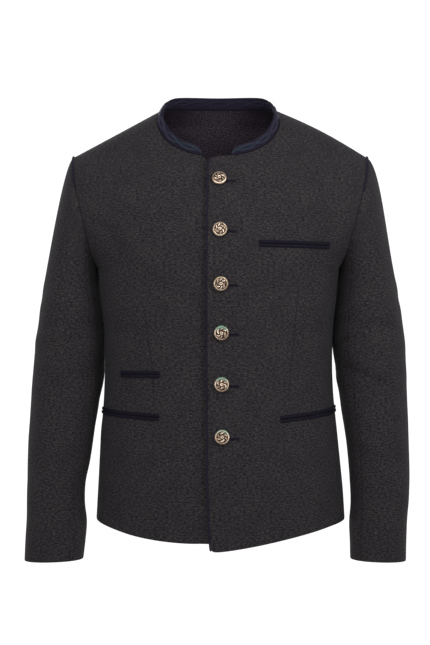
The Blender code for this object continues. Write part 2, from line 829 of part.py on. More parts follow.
def build_button(number, surface, x, z):
    """A turned button with its shank on the cloth."""
    point, normal = surface.hit(Vector((x, -1.0, z)), Vector((0.0, 1.0, 0.0)))
    name = f"button_{number}"
    data = bpy.data.meshes.new(name)
    profile = [(radius, 0.0, height) for radius, height in BUTTON_PROFILE]
    data.from_pydata(profile, [(k, k + 1) for k in range(len(profile) - 1)], [])
    button = add_object(name, data, "metal")
    screw = button.modifiers.new("turned", "SCREW")
    screw.axis = "Z"
    screw.steps = BUTTON_SIDES
    screw.render_steps = BUTTON_SIDES
    screw.use_merge_vertices = True
    screw.merge_threshold = 0.0001
    screw.use_smooth_shade = True
    button.location = point + normal * SEAM
    button.rotation_mode = "QUATERNION"
    button.rotation_quaternion = normal.to_track_quat("Z", "Y")


# Whole jacket

def clear_scene():
    for piece in list(bpy.data.objects):
        bpy.data.objects.remove(piece, do_unlink=True)
    group = bpy.data.collections.new("trachten_jacket")
    bpy.context.scene.collection.children.link(group)


def build_panel(name, grid, normals, sides, flip):
    outer = pulled(grid, sides)
    inner = moved(outer, normals, -CLOTH)
    if flip:
        outer, inner = mirrored(outer), mirrored(inner)
    wall(name, outer, inner, "wool")


def build_lining(side, grid, normals):
    """Lining inside half the back, from the middle of the back up to neck and shoulder."""
    rows = range(LINING_ROWS, ROWS + 1)
    half = [row[:COLUMNS] for row in pulled([grid[j] for j in rows], ("first", "top"))]
    facing = [normals[j][:COLUMNS] for j in rows]
    skins = [moved(half, facing, -depth) for depth in (CLOTH + SEAM, CLOTH + SEAM + LINING)]
    if side == "right":
        skins = [mirrored(skin) for skin in skins]
    wall(f"back_lining_{side}", skins[0], skins[1], "lining")


def main():
    clear_scene()
    collars = {}
    for side, sleeve in (("left", LEFT_SLEEVE), ("right", RIGHT_SLEEVE)):
        front = front_grid(side)
        back = back_grid(side)
        front_normals = grid_normals(front, 1.0)
        back_normals = grid_normals(back, -1.0)
        flatten_centre(back_normals)
        share_seams(front_normals, back_normals)
        flip = side == "right"
        build_panel(f"front_{side}", front, front_normals, ("last", "top"), flip)
        build_panel(f"back_{side}", back, back_normals, ("first", "last", "top"), flip)
        build_lining(side, back, back_normals)
        rim = armhole_rim(front, front_normals, back, back_normals)
        build_sleeve(side, sleeve, rim)
        build_armhole_piping(side, rim)
        collars[side] = collar_half(front, front_normals, back, back_normals, COLLAR_END[side])
        surface = Surface(front, front_normals)
        for name, half, x, z, length, rise in WELTS:
            if half == side:
                build_welt(name, side, surface, x, z, length, rise)
        if side == "left":
            build_edge_piping(front)
            for number, (x, z) in enumerate(BUTTONS, 1):
                build_button(number, surface, x, z)
    build_collar(collars["left"], collars["right"])


main()
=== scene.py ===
import math

import bpy
from bpy.props import FloatProperty, IntProperty, PointerProperty
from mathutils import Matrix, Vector
from mathutils.bvhtree import BVHTree


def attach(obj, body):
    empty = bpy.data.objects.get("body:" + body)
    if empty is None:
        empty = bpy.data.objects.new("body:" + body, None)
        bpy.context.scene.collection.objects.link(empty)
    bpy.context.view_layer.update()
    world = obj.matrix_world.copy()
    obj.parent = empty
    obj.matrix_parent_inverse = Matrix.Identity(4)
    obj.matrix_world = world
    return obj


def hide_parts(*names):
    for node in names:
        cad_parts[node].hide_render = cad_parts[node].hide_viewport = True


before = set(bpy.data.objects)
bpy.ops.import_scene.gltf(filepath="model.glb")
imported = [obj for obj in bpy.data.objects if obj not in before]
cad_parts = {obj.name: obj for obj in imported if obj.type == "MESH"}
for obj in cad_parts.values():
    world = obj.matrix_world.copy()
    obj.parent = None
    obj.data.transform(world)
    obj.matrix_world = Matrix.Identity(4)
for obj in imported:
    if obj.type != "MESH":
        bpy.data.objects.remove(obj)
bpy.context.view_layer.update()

bl_info = {
    "name": "Trachten Jacket",
    "version": (1, 0, 0),
    "blender": (4, 5, 0),
    "location": "3D View > Sidebar > Jacket",
    "description": "Dresses the jacket's solids in cloth, braid, corded welts and metal buttons",
    "category": "Add Mesh",
}

# Each half is worked out at +X and then mirrored for the wearer's right. A station is a place
# along a panel, counted in rows from the hem to the shoulder or in columns from the centre.
ROWS = 22
SIDE_ROWS = 11
ARM_ROWS = ROWS - SIDE_ROWS
EDGE_ROWS = 15
CENTRE_ROWS = 17
COLUMNS = 10
LEAD_COLUMNS = 2
LEAD_WIDTH = 0.0225
SEAM_FRONT = 8          # the sleeve's forearm seam, in stations round the armhole
SEAM_BACK = 14
HEAD_RINGS = 5
DART_COLUMN = 6
SEAM_ROWS = (0.06, 13.93, 14.07, 14.7, 14.9, 15.1, 15.3, 21.94)
SEAM_COLUMNS = (0.07, 9.93)
DART_COLUMNS = (5.92, 6.08)

OVERLAP_DROP = 0.0031
EDGE_HOLLOW = 0.0050    # the right front sinks a little more beside the left front's edge
HOLLOW_WIDTH = 0.008
HOLLOW_WIDENS = (-0.54, -0.64)
HOLLOW_WIDER = 0.7      # share by which the hollow is wider below
NECK_CREASE = 0.0030    # a soft crease runs from its collar down to that edge
NECK_CREASE_X = 0.037
NECK_CREASE_Z = -0.084
NECK_CREASE_LENGTH = 0.030
NECK_CREASE_WIDTH = 0.008
NECK_DROP = 0.0018
NECK_DROP_FROM = -0.190
NECK_DROP_TO = -0.095
UNDERLAP_X = 0.022
UNDERLAP_FULL = 0.024
UNDERLAP_NONE = 0.070
HEM_FRONT = {"left": -0.6895, "right": -0.6775}
HEM_DROP = {"left": 1.25, "right": 2.6}
HEM_BACK = -0.652
HEM_SIDE = -0.650
HEM_DROP_BACK = 2.0
UNDERARM = -0.250
NECK_FRONT = -0.0775
NECK_BACK = 0.011
SHOULDER_SWELL = {"left": 0.0055, "right": 0.0005}
SHOULDER_IN = {"left": 0.0, "right": 0.0055}
HEAD_SWELL = {"left": 1.0, "right": 0.6}     # how far the head of a sleeve swells out
COLLAR_END = {"left": 15.0, "right": 19.0}
RING_SQUARE = 0.92
LINING_ROW = 12.0
BRAID_LEAD = 0.007      # the braids lie side by side this far from the collar's ends
FACING = 0.075          # width of the wool facing inside the front edge
HEM_TURN = 1.3          # rows of wool turned in at the hem
SLANT_X = 0.012         # the right front's top edge slants down from the collar to here
SLANT_Z = -0.088
NECK_CORNER = 0.013     # radius of the left front's upper corner
HEM_CORNER = 0.006
PIPED_ROWS = {"left": 4.7, "right": 4.4}     # how far down the armhole its piping goes
HOLE_REACH = 0.0265     # a buttonhole reaches this far from the middle of its button
HOLE_HALF = 0.0020
HOLE_LOW = 0.0030       # and lies this far below it
STITCHES = 34
STITCH_STEPS = 4        # sections of the mesh to each stitch
STITCH_HEIGHT = 0.00075
STITCH_BAR = (0.92, 0.95)    # where along its length a buttonhole goes over into its end bar
WELT_STEP = 0.0025
WELT_END = 0.0035       # radius of a welt's rounded ends
LINING_GAPS = (0.0003, 0.0012)
EDGE_TURN = 0.25        # a free edge is rounded by this share of the cloth's thickness
# Seams, the armhole seam and the darts dip into the cloth, and the same values paint shade into
# those dips.
SEAM_DIP_AND_SHADE = 0.75        # how deep the dips of the seams are, and how much painted shade darkens them
ARMHOLE_DIP_AND_SHADE = 0.85
DART_DIP_AND_SHADE = 0.50
DART_FADE = 0.03
CUFF_TURN = 5           # rings of wool turned in at the cuff
COLLAR_ROUND = 0.45
COLLAR_CURVE = 0.0125   # length over which the collar rises to its height at its front ends
COLLAR_LOW = 0.38       # and the share of the height that it starts with
BRAID_LEVEL = 0.52      # height of the braids' middle line on the collar
# Painted light: the braid's cords are painted lighter within these distances of the collar's front
# ends.
BRAID_PAINTED_LIGHT = (0.035, 0.085)
PIPING_ROUND = 1.45     # the armhole's piping is this much thicker than the front edge's
PROBE = 0.05            # how far above the cloth a ray starts
GRAIN_LEAN = 1.2        # how far the cloth's grain leans back over the shoulder
GRAIN_LEANS = (-0.22, -0.05)
FLOOR_RADIUS = 3.2
FLOOR_CORNERS = 96
AIM = (0.0, 0.0, -0.2)


def table(columns, *rows):
    """A table with named columns, the first of them the running value."""
    return {name: [row[k] for row in rows] for k, name in enumerate(columns.split())}


FRONT = table(
    "height depth square",
    (-0.690, -0.136, 0.86),
    (-0.600, -0.136, 0.86),
    (-0.500, -0.129, 0.88),
    (-0.420, -0.124, 0.88),
    (-0.330, -0.127, 0.84),
    (-0.240, -0.131, 0.80),
    (-0.170, -0.122, 0.80),
    (-0.120, -0.1035, 0.82),
    (-0.0775, -0.0795, 0.85),
)
BACK = table(
    "height depth square",
    (-0.650, 0.116, 0.86),
    (-0.570, 0.114, 0.86),
    (-0.500, 0.103, 0.88),
    (-0.420, 0.092, 0.88),
    (-0.340, 0.098, 0.85),
    (-0.260, 0.110, 0.80),
    (-0.180, 0.116, 0.78),
    (-0.100, 0.110, 0.78),
    (-0.040, 0.097, 0.80),
    (0.011, 0.081, 0.85),
)
SIDE = table(
    "height left right y",
    (-0.650, 0.2020, 0.1955, 0.008),
    (-0.605, 0.1992, 0.1930, 0.008),
    (-0.573, 0.1962, 0.1913, 0.008),
    (-0.541, 0.1930, 0.1898, 0.009),
    (-0.509, 0.1898, 0.1882, 0.009),
    (-0.477, 0.1864, 0.1850, 0.010),
    (-0.445, 0.1836, 0.1832, 0.010),
    (-0.400, 0.1822, 0.1820, 0.011),
    (-0.350, 0.1835, 0.1832, 0.012),
    (-0.300, 0.1880, 0.1880, 0.012),
    (-0.250, 0.1935, 0.1935, 0.012),
)
EDGE = table(
    "height x",
    (-0.690, -0.0120),
    (-0.600, -0.0155),
    (-0.450, -0.0170),
    (-0.250, -0.0172),
    (-0.0775, -0.0150),
)
NECKLINE = table(
    "turn x y z",
    (-20, -0.0300, -0.0785, -0.0770),
    (0, 0.0000, -0.0795, -0.0775),
    (20, 0.0300, -0.0780, -0.0745),
    (40, 0.0610, -0.0680, -0.0650),
    (60, 0.0860, -0.0460, -0.0460),
    (75, 0.0975, -0.0230, -0.0200),
    (90, 0.0935, 0.0060, 0.0010),
    (110, 0.0820, 0.0350, 0.0075),
    (130, 0.0620, 0.0590, 0.0100),
    (150, 0.0360, 0.0745, 0.0110),
    (180, 0.0000, 0.0810, 0.0110),
    (210, -0.0360, 0.0745, 0.0110),
)
ARMHOLE_RING = (
    (0, 0.2370, 0.012, -0.0725, 30),
    (30, 0.2370, -0.018, -0.084, 37),
    (60, 0.2325, -0.046, -0.112, 48),
    (90, 0.2225, -0.063, -0.150, 57),
    (120, 0.2110, -0.060, -0.195, 66),
    (150, 0.2010, -0.034, -0.232, 77),
    (180, 0.1935, 0.012, -0.250, 90),
    (210, 0.2000, 0.056, -0.236, 77),
    (240, 0.2090, 0.081, -0.203, 66),
    (270, 0.2170, 0.088, -0.160, 56),
    (300, 0.2260, 0.078, -0.120, 46),
    (330, 0.2340, 0.050, -0.090, 36),
)
ARMHOLE = table(
    "turn x y z wrap",
    (-30, *ARMHOLE_RING[-1][1:]),
    *ARMHOLE_RING,
    *((360 + turn, *place) for turn, *place in ARMHOLE_RING[:2]),
)
# Which way the sleeve's cloth leaves the front half of the armhole, and how firmly it holds on
# to its start and its end. The hind half mirrors it.
HEAD_FORE = (
    (0, 0.93, 0.00, -0.37, 0.070, 0.24),
    (30, 0.95, -0.10, -0.28, 0.062, 0.22),
    (60, 0.95, -0.22, -0.20, 0.056, 0.18),
    (90, 0.90, -0.30, -0.30, 0.048, 0.13),
    (120, 0.72, -0.25, -0.64, 0.038, 0.08),
    (150, 0.38, -0.10, -0.92, 0.022, 0.04),
    (180, -0.10, 0.00, -0.99, 0.012, 0.02),
)
SLEEVE_HEAD = table(
    "turn x y z start end",
    *HEAD_FORE,
    *((360 - turn, x, -y, z, *holds) for turn, x, y, z, *holds in HEAD_FORE[-2::-1]),
)
SLEEVES = table(
    "drop z tilt left_outer left_inner left_middle left_depth "
    "right_outer right_inner right_middle right_depth",
    (0, -0.274, 0.17, 0.2835, 0.1932, 0.020, 0.160, 0.2785, 0.1932, 0.020, 0.160),
    (1, -0.312, 0.15, 0.2915, 0.1885, 0.020, 0.158, 0.2855, 0.1885, 0.020, 0.158),
    (2, -0.348, 0.12, 0.2960, 0.1851, 0.019, 0.153, 0.2895, 0.1851, 0.019, 0.154),
    (3, -0.381, 0.10, 0.2995, 0.1862, 0.018, 0.148, 0.2940, 0.1850, 0.018, 0.149),
    (4, -0.430, 0.08, 0.3020, 0.1915, 0.014, 0.140, 0.2985, 0.1865, 0.015, 0.141),
    (5, -0.462, 0.06, 0.3025, 0.1970, 0.010, 0.134, 0.3005, 0.1930, 0.011, 0.135),
    (6, -0.494, 0.05, 0.3035, 0.2005, 0.005, 0.128, 0.3020, 0.1970, 0.006, 0.129),
    (7, -0.526, 0.04, 0.3040, 0.2045, 0.000, 0.123, 0.3040, 0.2010, 0.001, 0.124),
    (8, -0.558, 0.03, 0.3045, 0.2075, -0.005, 0.118, 0.3045, 0.2055, -0.004, 0.119),
    (9, -0.590, 0.02, 0.3045, 0.2095, -0.009, 0.114, 0.3050, 0.2120, -0.008, 0.115),
    (10, -0.623, 0.00, 0.3030, 0.2105, -0.013, 0.110, 0.3055, 0.2130, -0.012, 0.111),
    (11, -0.655, -0.02, 0.3000, 0.2080, -0.016, 0.107, 0.3060, 0.2095, -0.015, 0.108),
    (12, -0.687, -0.03, 0.2985, 0.2090, -0.018, 0.104, 0.3075, 0.2120, -0.017, 0.105),
    (13, -0.713, -0.03, 0.2980, 0.2095, -0.019, 0.103, 0.3085, 0.2150, -0.018, 0.104),
)
LAST_DROP = 13
COLLAR = table(
    "turn lean rise",
    (0, 0.0095, 0.0145),
    (40, 0.0105, 0.0145),
    (60, 0.0105, 0.0135),
    (75, 0.0090, 0.0125),
    (90, 0.0075, 0.0120),
    (110, 0.0075, 0.0170),
    (130, 0.0060, 0.0190),
    (180, 0.0040, 0.0195),
)
COLLAR_WALL = 0.0026
COLLAR_PROFILE = table(
    "share wide",
    (-0.05, 1.00),
    (0.00, 1.00),
    (0.12, 1.00),
    (0.25, 1.00),
    (0.40, 1.00),
    (0.55, 0.98),
    (0.70, 0.92),
    (0.82, 0.84),
    (0.92, 0.68),
    (0.98, 0.42),
    (1.00, 0.18),
)

# Darts: distance of each front's dart from the centre, by height, and the heights it spans.
DARTS = table(
    "height left right",
    (-0.690, 0.098, 0.096),
    (-0.450, 0.109, 0.100),
    (-0.380, 0.1150, 0.1064),
    (-0.300, 0.1221, 0.1180),
    (-0.250, 0.1250, 0.1240),
    (-0.150, 0.1280, 0.1280),
)
DART_ENDS = {"left": (-0.470, -0.2560), "right": (-0.470, -0.2930)}

# Soft creases of the body: distance from the centre along the cloth, height, slope in degrees
# against the level, half length, half width, and depth, negative for a trough.
CREASES = {
    "front_left": (
        (0.215, -0.185, 62, 0.055, 0.012, -0.0022),
        (0.178, -0.235, 48, 0.060, 0.014, -0.0016),
        (0.232, -0.330, 8, 0.050, 0.012, -0.0018),
        (0.190, -0.395, -14, 0.060, 0.013, -0.0014),
        (0.120, -0.565, 84, 0.080, 0.018, -0.0022),
        (0.215, -0.590, 78, 0.070, 0.020, -0.0026),
        (0.150, -0.130, 30, 0.050, 0.016, -0.0010),
    ),
    "front_right": (
        (0.212, -0.190, 64, 0.055, 0.012, -0.0024),
        (0.170, -0.245, 40, 0.070, 0.015, -0.0018),
        (0.228, -0.345, -6, 0.045, 0.012, -0.0020),
        (0.180, -0.440, 12, 0.055, 0.012, -0.0012),
        (0.095, -0.560, 88, 0.085, 0.015, -0.0022),
        (0.205, -0.600, 80, 0.070, 0.022, -0.0028),
        (0.135, -0.140, 28, 0.060, 0.016, -0.0012),
    ),
    "back_left": (
        (0.205, -0.165, 68, 0.070, 0.014, -0.0034),
        (0.160, -0.220, 55, 0.080, 0.018, -0.0026),
        (0.080, -0.035, 8, 0.070, 0.012, -0.0020),
        (0.140, -0.405, 6, 0.070, 0.013, -0.0026),
        (0.190, -0.370, -10, 0.050, 0.010, -0.0022),
        (0.070, -0.560, 86, 0.090, 0.020, -0.0036),
        (0.170, -0.580, 80, 0.080, 0.022, -0.0034),
    ),
    "back_right": (
        (0.210, -0.175, 66, 0.065, 0.013, -0.0030),
        (0.150, -0.240, 50, 0.085, 0.019, -0.0028),
        (0.060, -0.030, 6, 0.060, 0.011, -0.0018),
        (0.110, -0.425, -8, 0.075, 0.014, -0.0024),
        (0.185, -0.390, 8, 0.055, 0.011, -0.0026),
        (0.090, -0.550, 84, 0.085, 0.021, -0.0032),
        (0.195, -0.600, 78, 0.075, 0.020, -0.0036),
    ),
}

# Soft folds of the sleeves: height and turn of the middle, slope in metres of height for each
# degree round, half height, half width in degrees, and depth, negative for a trough. Both
# sleeves have the first ones.
BOTH_FOLDS = (
    (-0.405, 150, 0.00000, 0.016, 45, -0.0040),
    (-0.437, 120, 0.00000, 0.014, 40, -0.0045),
    (-0.372, 40, 0.00000, 0.018, 40, 0.0020),
    (-0.470, 220, 0.00000, 0.020, 45, 0.0025),
    (-0.640, 300, 0.00000, 0.018, 50, -0.0030),
    (-0.285, 200, 0.00000, 0.045, 22, 0.0030),
)
SLEEVE_FOLDS = {
    "left": (
        *BOTH_FOLDS,
        (-0.355, 200, 0.00000, 0.034, 24, 0.0030),
        (-0.415, 190, 0.00000, 0.030, 34, 0.0020),
        (-0.419, 105, 0.00046, 0.007, 40, -0.0066),
        (-0.352, 62, 0.00030, 0.010, 34, -0.0030),
        (-0.322, 118, -0.00030, 0.009, 40, -0.0032),
        (-0.362, 140, -0.00020, 0.008, 30, -0.0028),
        (-0.455, 60, -0.00025, 0.011, 42, -0.0018),
        (-0.300, 20, 0.00060, 0.012, 34, -0.0016),
        (-0.545, 110, 0.00020, 0.012, 44, -0.0016),
        (-0.620, 70, -0.00025, 0.014, 40, -0.0016),
        (-0.420, 250, 0.00030, 0.010, 46, -0.0036),
        (-0.380, 280, -0.00025, 0.010, 40, -0.0026),
        (-0.500, 270, 0.00020, 0.014, 44, -0.0024),
    ),
    "right": (
        *BOTH_FOLDS,
        (-0.350, 200, 0.00000, 0.035, 22, 0.0028),
        (-0.408, 196, 0.00000, 0.026, 28, 0.0043),
        (-0.421, 105, 0.00030, 0.008, 42, -0.0048),
        (-0.372, 70, 0.00025, 0.008, 38, -0.0042),
        (-0.330, 125, -0.00030, 0.010, 38, -0.0030),
        (-0.480, 75, -0.00020, 0.012, 40, -0.0016),
        (-0.295, 30, 0.00050, 0.012, 30, -0.0014),
        (-0.575, 60, 0.00020, 0.013, 38, -0.0020),
        (-0.640, 100, -0.00025, 0.014, 44, -0.0016),
        (-0.410, 255, 0.00025, 0.011, 44, -0.0034),
        (-0.440, 285, -0.00030, 0.010, 38, -0.0024),
        (-0.540, 265, 0.00020, 0.014, 46, -0.0022),
    ),
}

# Pocket welts: which half, where the inner end lies, length and rise towards the side.
WELTS = (
    ("chest_welt", "left", 0.0620, -0.2150, 0.1225, -0.002),
    ("ticket_welt", "right", 0.0908, -0.4176, 0.0750, 0.000),
    ("hip_welt_left", "left", 0.0953, -0.4870, 0.150, 0.014),
    ("hip_welt_right", "right", 0.0918, -0.4840, 0.150, 0.008),
)
WELT_WIDTH = 0.0110
# Height of a welt's two cords from its middle to an edge; the other cord mirrors it.
WELT_HALF = (
    (0.000, 0.00050),
    (0.080, 0.00120),
    (0.200, 0.00195),
    (0.350, 0.00225),
    (0.500, 0.00235),
    (0.650, 0.00225),
    (0.800, 0.00195),
    (0.920, 0.00145),
    (0.985, 0.00080),
    (1.000, 0.0000),
)
WELT_PROFILE = table(
    "share height",
    *((-share, height) for share, height in WELT_HALF[:0:-1]),
    *WELT_HALF,
)

# The buttons from the neck down: where their middles lie beside the centre, and how high.
BUTTONS = (
    (0.0010, -0.1147),
    (0.0020, -0.1939),
    (0.0034, -0.2771),
    (0.0043, -0.3530),
    (0.0047, -0.4326),
    (0.0053, -0.5132),
)

# Half the outline of a button: its face, and from there round the back to the foot of its shank.
BUTTON_PROFILE = table(
    "radius height",
    (0.0000, 0.0082),
    (0.0026, 0.0077),
    (0.0040, 0.0066),
    (0.0058, 0.0068),
    (0.0090, 0.0058),
    (0.0115, 0.0040),
)
BUTTON_RADIUS = 0.0115
BUTTON_RINGS = 46
BUTTON_BACK = (
    (0.0117, 0.0034),
    (0.0114, 0.0028),
    (0.0100, 0.0026),
    (0.0060, 0.0024),
    (0.0032, 0.0022),
    (0.0027, 0.0012),
    (0.0026, 0.0000),
)
BOSS_EDGE = 3.4         # radii on the face in millimetres: where the boss ends,
ROSETTE_EDGE = 8.8      # and where the roped rim begins
ROPE_MIDDLE = 10.1
BOSS_HEIGHT = 0.0006
PETAL_HEIGHT = 0.0010
HOLLOW_DEPTH = 0.0005
ROPE_HEIGHT = 0.0005
STRAND_HEIGHT = 0.0002
BACK_SHADE = 0.22

# The soft lights: where they stand, how wide they are, and their share of the power.
LIGHTS = (
    ("key", (0.75, -0.95, 0.35), 0.4, 1.0),
    ("fill", (-0.35, -1.20, 0.45), 0.8, 1.0),
    ("back", (-0.3, 1.7, 1.2), 1.2, 2.8),
)

# Brightness of the surroundings from straight down to straight up: white all round the jacket.
SKY = ((0.10, 0.45), (0.34, 0.95), (0.41, 1.00), (0.60, 1.00), (0.74, 0.35))


# Curves and points

def curve(part, start, leave, end, arrive):
    """A smooth way from start to end with the pace that it leaves and arrives with."""
    square = part * part
    cube = square * part
    return (
        start * (2 * cube - 3 * square + 1)
        + leave * (cube - 2 * square + part)
        + end * (3 * square - 2 * cube)
        + arrive * (cube - square)
    )


def read(tab, column, at):
    """Value of a column on the smooth curve through the table where its first column is at."""
    keys = next(iter(tab.values()))
    values = tab[column]
    last = len(keys) - 1
    k = 0
    while k < last - 1 and at > keys[k + 1]:
        k += 1
    span = keys[k + 1] - keys[k]
    part = min(max((at - keys[k]) / span, 0.0), 1.0)

    def pace(n):
        low, high = max(n - 1, 0), min(n + 1, last)
        return (values[high] - values[low]) / (keys[high] - keys[low]) * span

    return curve(part, values[k], pace(k), values[k + 1], pace(k + 1))


def place(tab, at):
    return Vector([read(tab, axis, at) for axis in "xyz"])


def mix(low, high, part):
    return low + (high - low) * part


def smooth(low, high, at):
    """0 below low, 1 above high and a soft step between."""
    part = min(max((at - low) / (high - low), 0.0), 1.0)
    return part * part * (3.0 - 2.0 * part)


def bell(at):
    return math.exp(-at * at)


def stations(last, fine, extra=()):
    """Places from 0 to last, fine of them to each step, and the extra ones beside seams."""
    return sorted([k / fine for k in range(last * fine + 1)] + list(extra))


def split(cells):
    """A grid of cells with several values each as one grid for each value."""
    return [[[cell[k] for cell in row] for row in cells] for k in range(len(cells[0][0]))]


def runs(points):
    """Distance along a path at each of its points."""
    gone = [0.0]
    for one, other in zip(points, points[1:]):
        gone.append(gone[-1] + (other - one).length)
    return gone


# Panels of the body

class Half:
    """The cloth of one half of the jacket, worked out at +X: front, back and armhole."""

    def __init__(self, side, cloth):
        self.side = side
        self.cloth = cloth
        self.rows = stations(ROWS, cloth.fineness, SEAM_ROWS)
        self.front_columns = stations(COLUMNS, cloth.fineness, SEAM_COLUMNS + DART_COLUMNS)
        self.back_columns = stations(COLUMNS, cloth.fineness, SEAM_COLUMNS)
        self.front = self.front_grid()
        self.back = self.back_grid()
        self.find_normals()
        crease(self.front, self.front_normals, self.rows, CREASES[f"front_{side}"],
               cloth.creases, True)
        crease(self.back, self.back_normals, self.rows, CREASES[f"back_{side}"],
               cloth.creases, False)
        self.find_normals()
        self.rim = self.armhole_rim()

    def row_points(self, start, end, wrap, square, drop, profile, hold, columns, dart):
        """One row of a panel, from its start near the centre to its end at side or armhole."""
        reach = math.sin(wrap)
        base = max(start.x, 0.0)

        def angle_at(x):
            return math.asin(min(x * reach / end.x, 1.0))

        lead = angle_at(start.x + LEAD_COLUMNS * LEAD_WIDTH)
        middle = (DART_COLUMN - LEAD_COLUMNS) / (COLUMNS - LEAD_COLUMNS)
        if dart:
            z = start.z
            for _ in range(3):
                x = read(DARTS, self.side, z)
                along = min(max((x - base) / (end.x - base), 0.0), 1.0)
                z = mix(start.z, end.z, along ** drop)
            share = (angle_at(max(x, 0.0)) - lead) / (wrap - lead)
            free = smooth(-0.21, -0.13, start.z)
            middle = mix(min(max(share, 0.2), 0.8), middle, free)
        first = math.cos(angle_at(start.x)) ** square
        last = max(math.cos(wrap), 0.0) ** square
        points = []
        for column in columns:
            if column <= LEAD_COLUMNS:
                angle = angle_at(start.x + column * LEAD_WIDTH)
            elif column <= DART_COLUMN:
                part = (column - LEAD_COLUMNS) / (DART_COLUMN - LEAD_COLUMNS)
                angle = mix(lead, wrap, middle * part)
            else:
                part = (column - DART_COLUMN) / (COLUMNS - DART_COLUMN)
                angle = mix(lead, wrap, mix(middle, 1.0, part))
            x = end.x * math.sin(angle) / reach
            depth = (max(math.cos(angle), 0.0) ** square - last) / (first - last)
            along = (max(x, 0.0) - base) / (end.x - base)
            z = mix(start.z, end.z, max(along, 0.0) ** drop)
            fuller = hold * (read(profile, "depth", z) - read(profile, "depth", start.z))
            points.append(Vector((x, mix(end.y, start.y, depth) + fuller * depth, z)))
        return points

    def side_end(self, row, hind):
        """End of a row at the side seam or the armhole, and its wrap."""
        if row <= SIDE_ROWS:
            height = mix(HEM_SIDE, UNDERARM, row / SIDE_ROWS)
            end = Vector((read(SIDE, self.side, height), read(SIDE, "y", height), height))
            return end, math.pi / 2
        step = (row - SIDE_ROWS) * 180.0 / ARM_ROWS
        turn = 180.0 + step if hind else 180.0 - step
        end = place(ARMHOLE, turn)
        end.x -= SHOULDER_IN[self.side] * math.cos(math.radians(turn) / 2) ** 2
        return end, math.radians(read(ARMHOLE, "wrap", turn))

    def swell_shoulder(self, grid):
        for at, row in zip(self.rows, grid):
            share = smooth(EDGE_ROWS, ROWS, at)
            if share > 0.0:
                for point in row:
                    along = (point.x - row[0].x) / (row[-1].x - row[0].x)
                    point.z += SHOULDER_SWELL[self.side] * share * math.sin(math.pi * along)

    def front_start(self, at):
        """Where a row of the front starts: on its edge, or from there on along the neck."""
        if at >= EDGE_ROWS + 1:
            part = (at - EDGE_ROWS - 1) / (ROWS - EDGE_ROWS - 1)
            return place(NECKLINE, mix(COLLAR_END[self.side], 90.0, part))
        edge_end = EDGE_ROWS
        corner = (read(EDGE, "x", NECK_FRONT), NECK_FRONT)
        if self.side == "right":
            edge_end = EDGE_ROWS - 1
            corner = (SLANT_X, SLANT_Z)
        if at > EDGE_ROWS:
            point = Vector((corner[0], read(FRONT, "depth", corner[1]), corner[1]))
            return point.lerp(place(NECKLINE, COLLAR_END[self.side]), at - EDGE_ROWS)
        z = mix(HEM_FRONT[self.side], NECK_FRONT, min(at, edge_end) / EDGE_ROWS)
        x = -UNDERLAP_X if self.side == "right" else read(EDGE, "x", z)
        if at > edge_end:
            x, z = mix(x, corner[0], at - edge_end), mix(z, corner[1], at - edge_end)
        return Vector((x, read(FRONT, "depth", z), z))

    def front_grid(self):
        grid = []
        for at in self.rows:
            start = self.front_start(at)
            square = read(FRONT, "square", start.z) if at <= EDGE_ROWS else FRONT["square"][-1]
            end, wrap = self.side_end(at, hind=False)
            hold = min(1.0, (ROWS - at) / (ROWS - EDGE_ROWS))
            drop = mix(HEM_DROP[self.side], 1.0, smooth(0, ROWS / 3, at))
            grid.append(self.row_points(start, end, wrap, square, drop, FRONT, hold,
                                        self.front_columns, True))
        self.swell_shoulder(grid)
        if self.side == "right":
            for row in grid:
                for point in row:
                    low = OVERLAP_DROP + NECK_DROP * smooth(NECK_DROP_FROM, NECK_DROP_TO, point.z)
                    wide = 1.0 + HOLLOW_WIDER * smooth(*HOLLOW_WIDENS, point.z)
                    low += EDGE_HOLLOW * bell((point.x - UNDERLAP_FULL) / HOLLOW_WIDTH / wide)
                    right, up = point.x - NECK_CREASE_X, point.z - NECK_CREASE_Z
                    low += (NECK_CREASE * bell((right + up) / NECK_CREASE_LENGTH)
                            * bell((up - right) / NECK_CREASE_WIDTH))
                    point.y += low * (1.0 - smooth(UNDERLAP_FULL, UNDERLAP_NONE, point.x))
        else:
            top, low = self.rows.index(EDGE_ROWS), self.rows.index(EDGE_ROWS - 1)
            round_corner(grid, grid[top][0], grid[self.rows.index(EDGE_ROWS + 1)][0],
                         grid[low][0], NECK_CORNER)
            round_corner(grid, grid[0][0], grid[0][self.front_columns.index(1)],
                         grid[self.rows.index(1)][0], HEM_CORNER)
        return grid

    def back_grid(self):
        grid = []
        for at in self.rows:
            if at <= CENTRE_ROWS:
                z = mix(HEM_BACK, NECK_BACK, at / CENTRE_ROWS)
                start = Vector((0.0, read(BACK, "depth", z), z))
                square = read(BACK, "square", z)
            else:
                part = (at - CENTRE_ROWS) / (ROWS - CENTRE_ROWS)
                start = place(NECKLINE, mix(180.0, 90.0, part))
                square = BACK["square"][-1]
            end, wrap = self.side_end(at, hind=True)
            drop = mix(HEM_DROP_BACK, 1.0, smooth(0, ROWS / 3, at))
            hold = min(1.0, (ROWS - at) / (ROWS - CENTRE_ROWS))
            grid.append(self.row_points(start, end, wrap, square, drop, BACK, hold,
                                        self.back_columns, False))
        self.swell_shoulder(grid)
        return grid

    def find_normals(self):
        """Both sides of the side and shoulder seams have one normal, and the centre is level."""
        self.front_normals = grid_normals(self.front, 1.0)
        self.back_normals = grid_normals(self.back, -1.0)
        for j, at in enumerate(self.rows):
            if at <= SIDE_ROWS:
                both = (self.front_normals[j][-1] + self.back_normals[j][-1]).normalized()
                self.front_normals[j][-1] = both
                self.back_normals[j][-1] = both.copy()
            if at <= CENTRE_ROWS:
                self.back_normals[j][0].x = 0.0
                self.back_normals[j][0].normalize()
        for k, column in enumerate(self.back_columns):
            i = self.front_columns.index(column)
            both = (self.front_normals[-1][i] + self.back_normals[-1][k]).normalized()
            self.front_normals[-1][i] = both
            self.back_normals[-1][k] = both.copy()

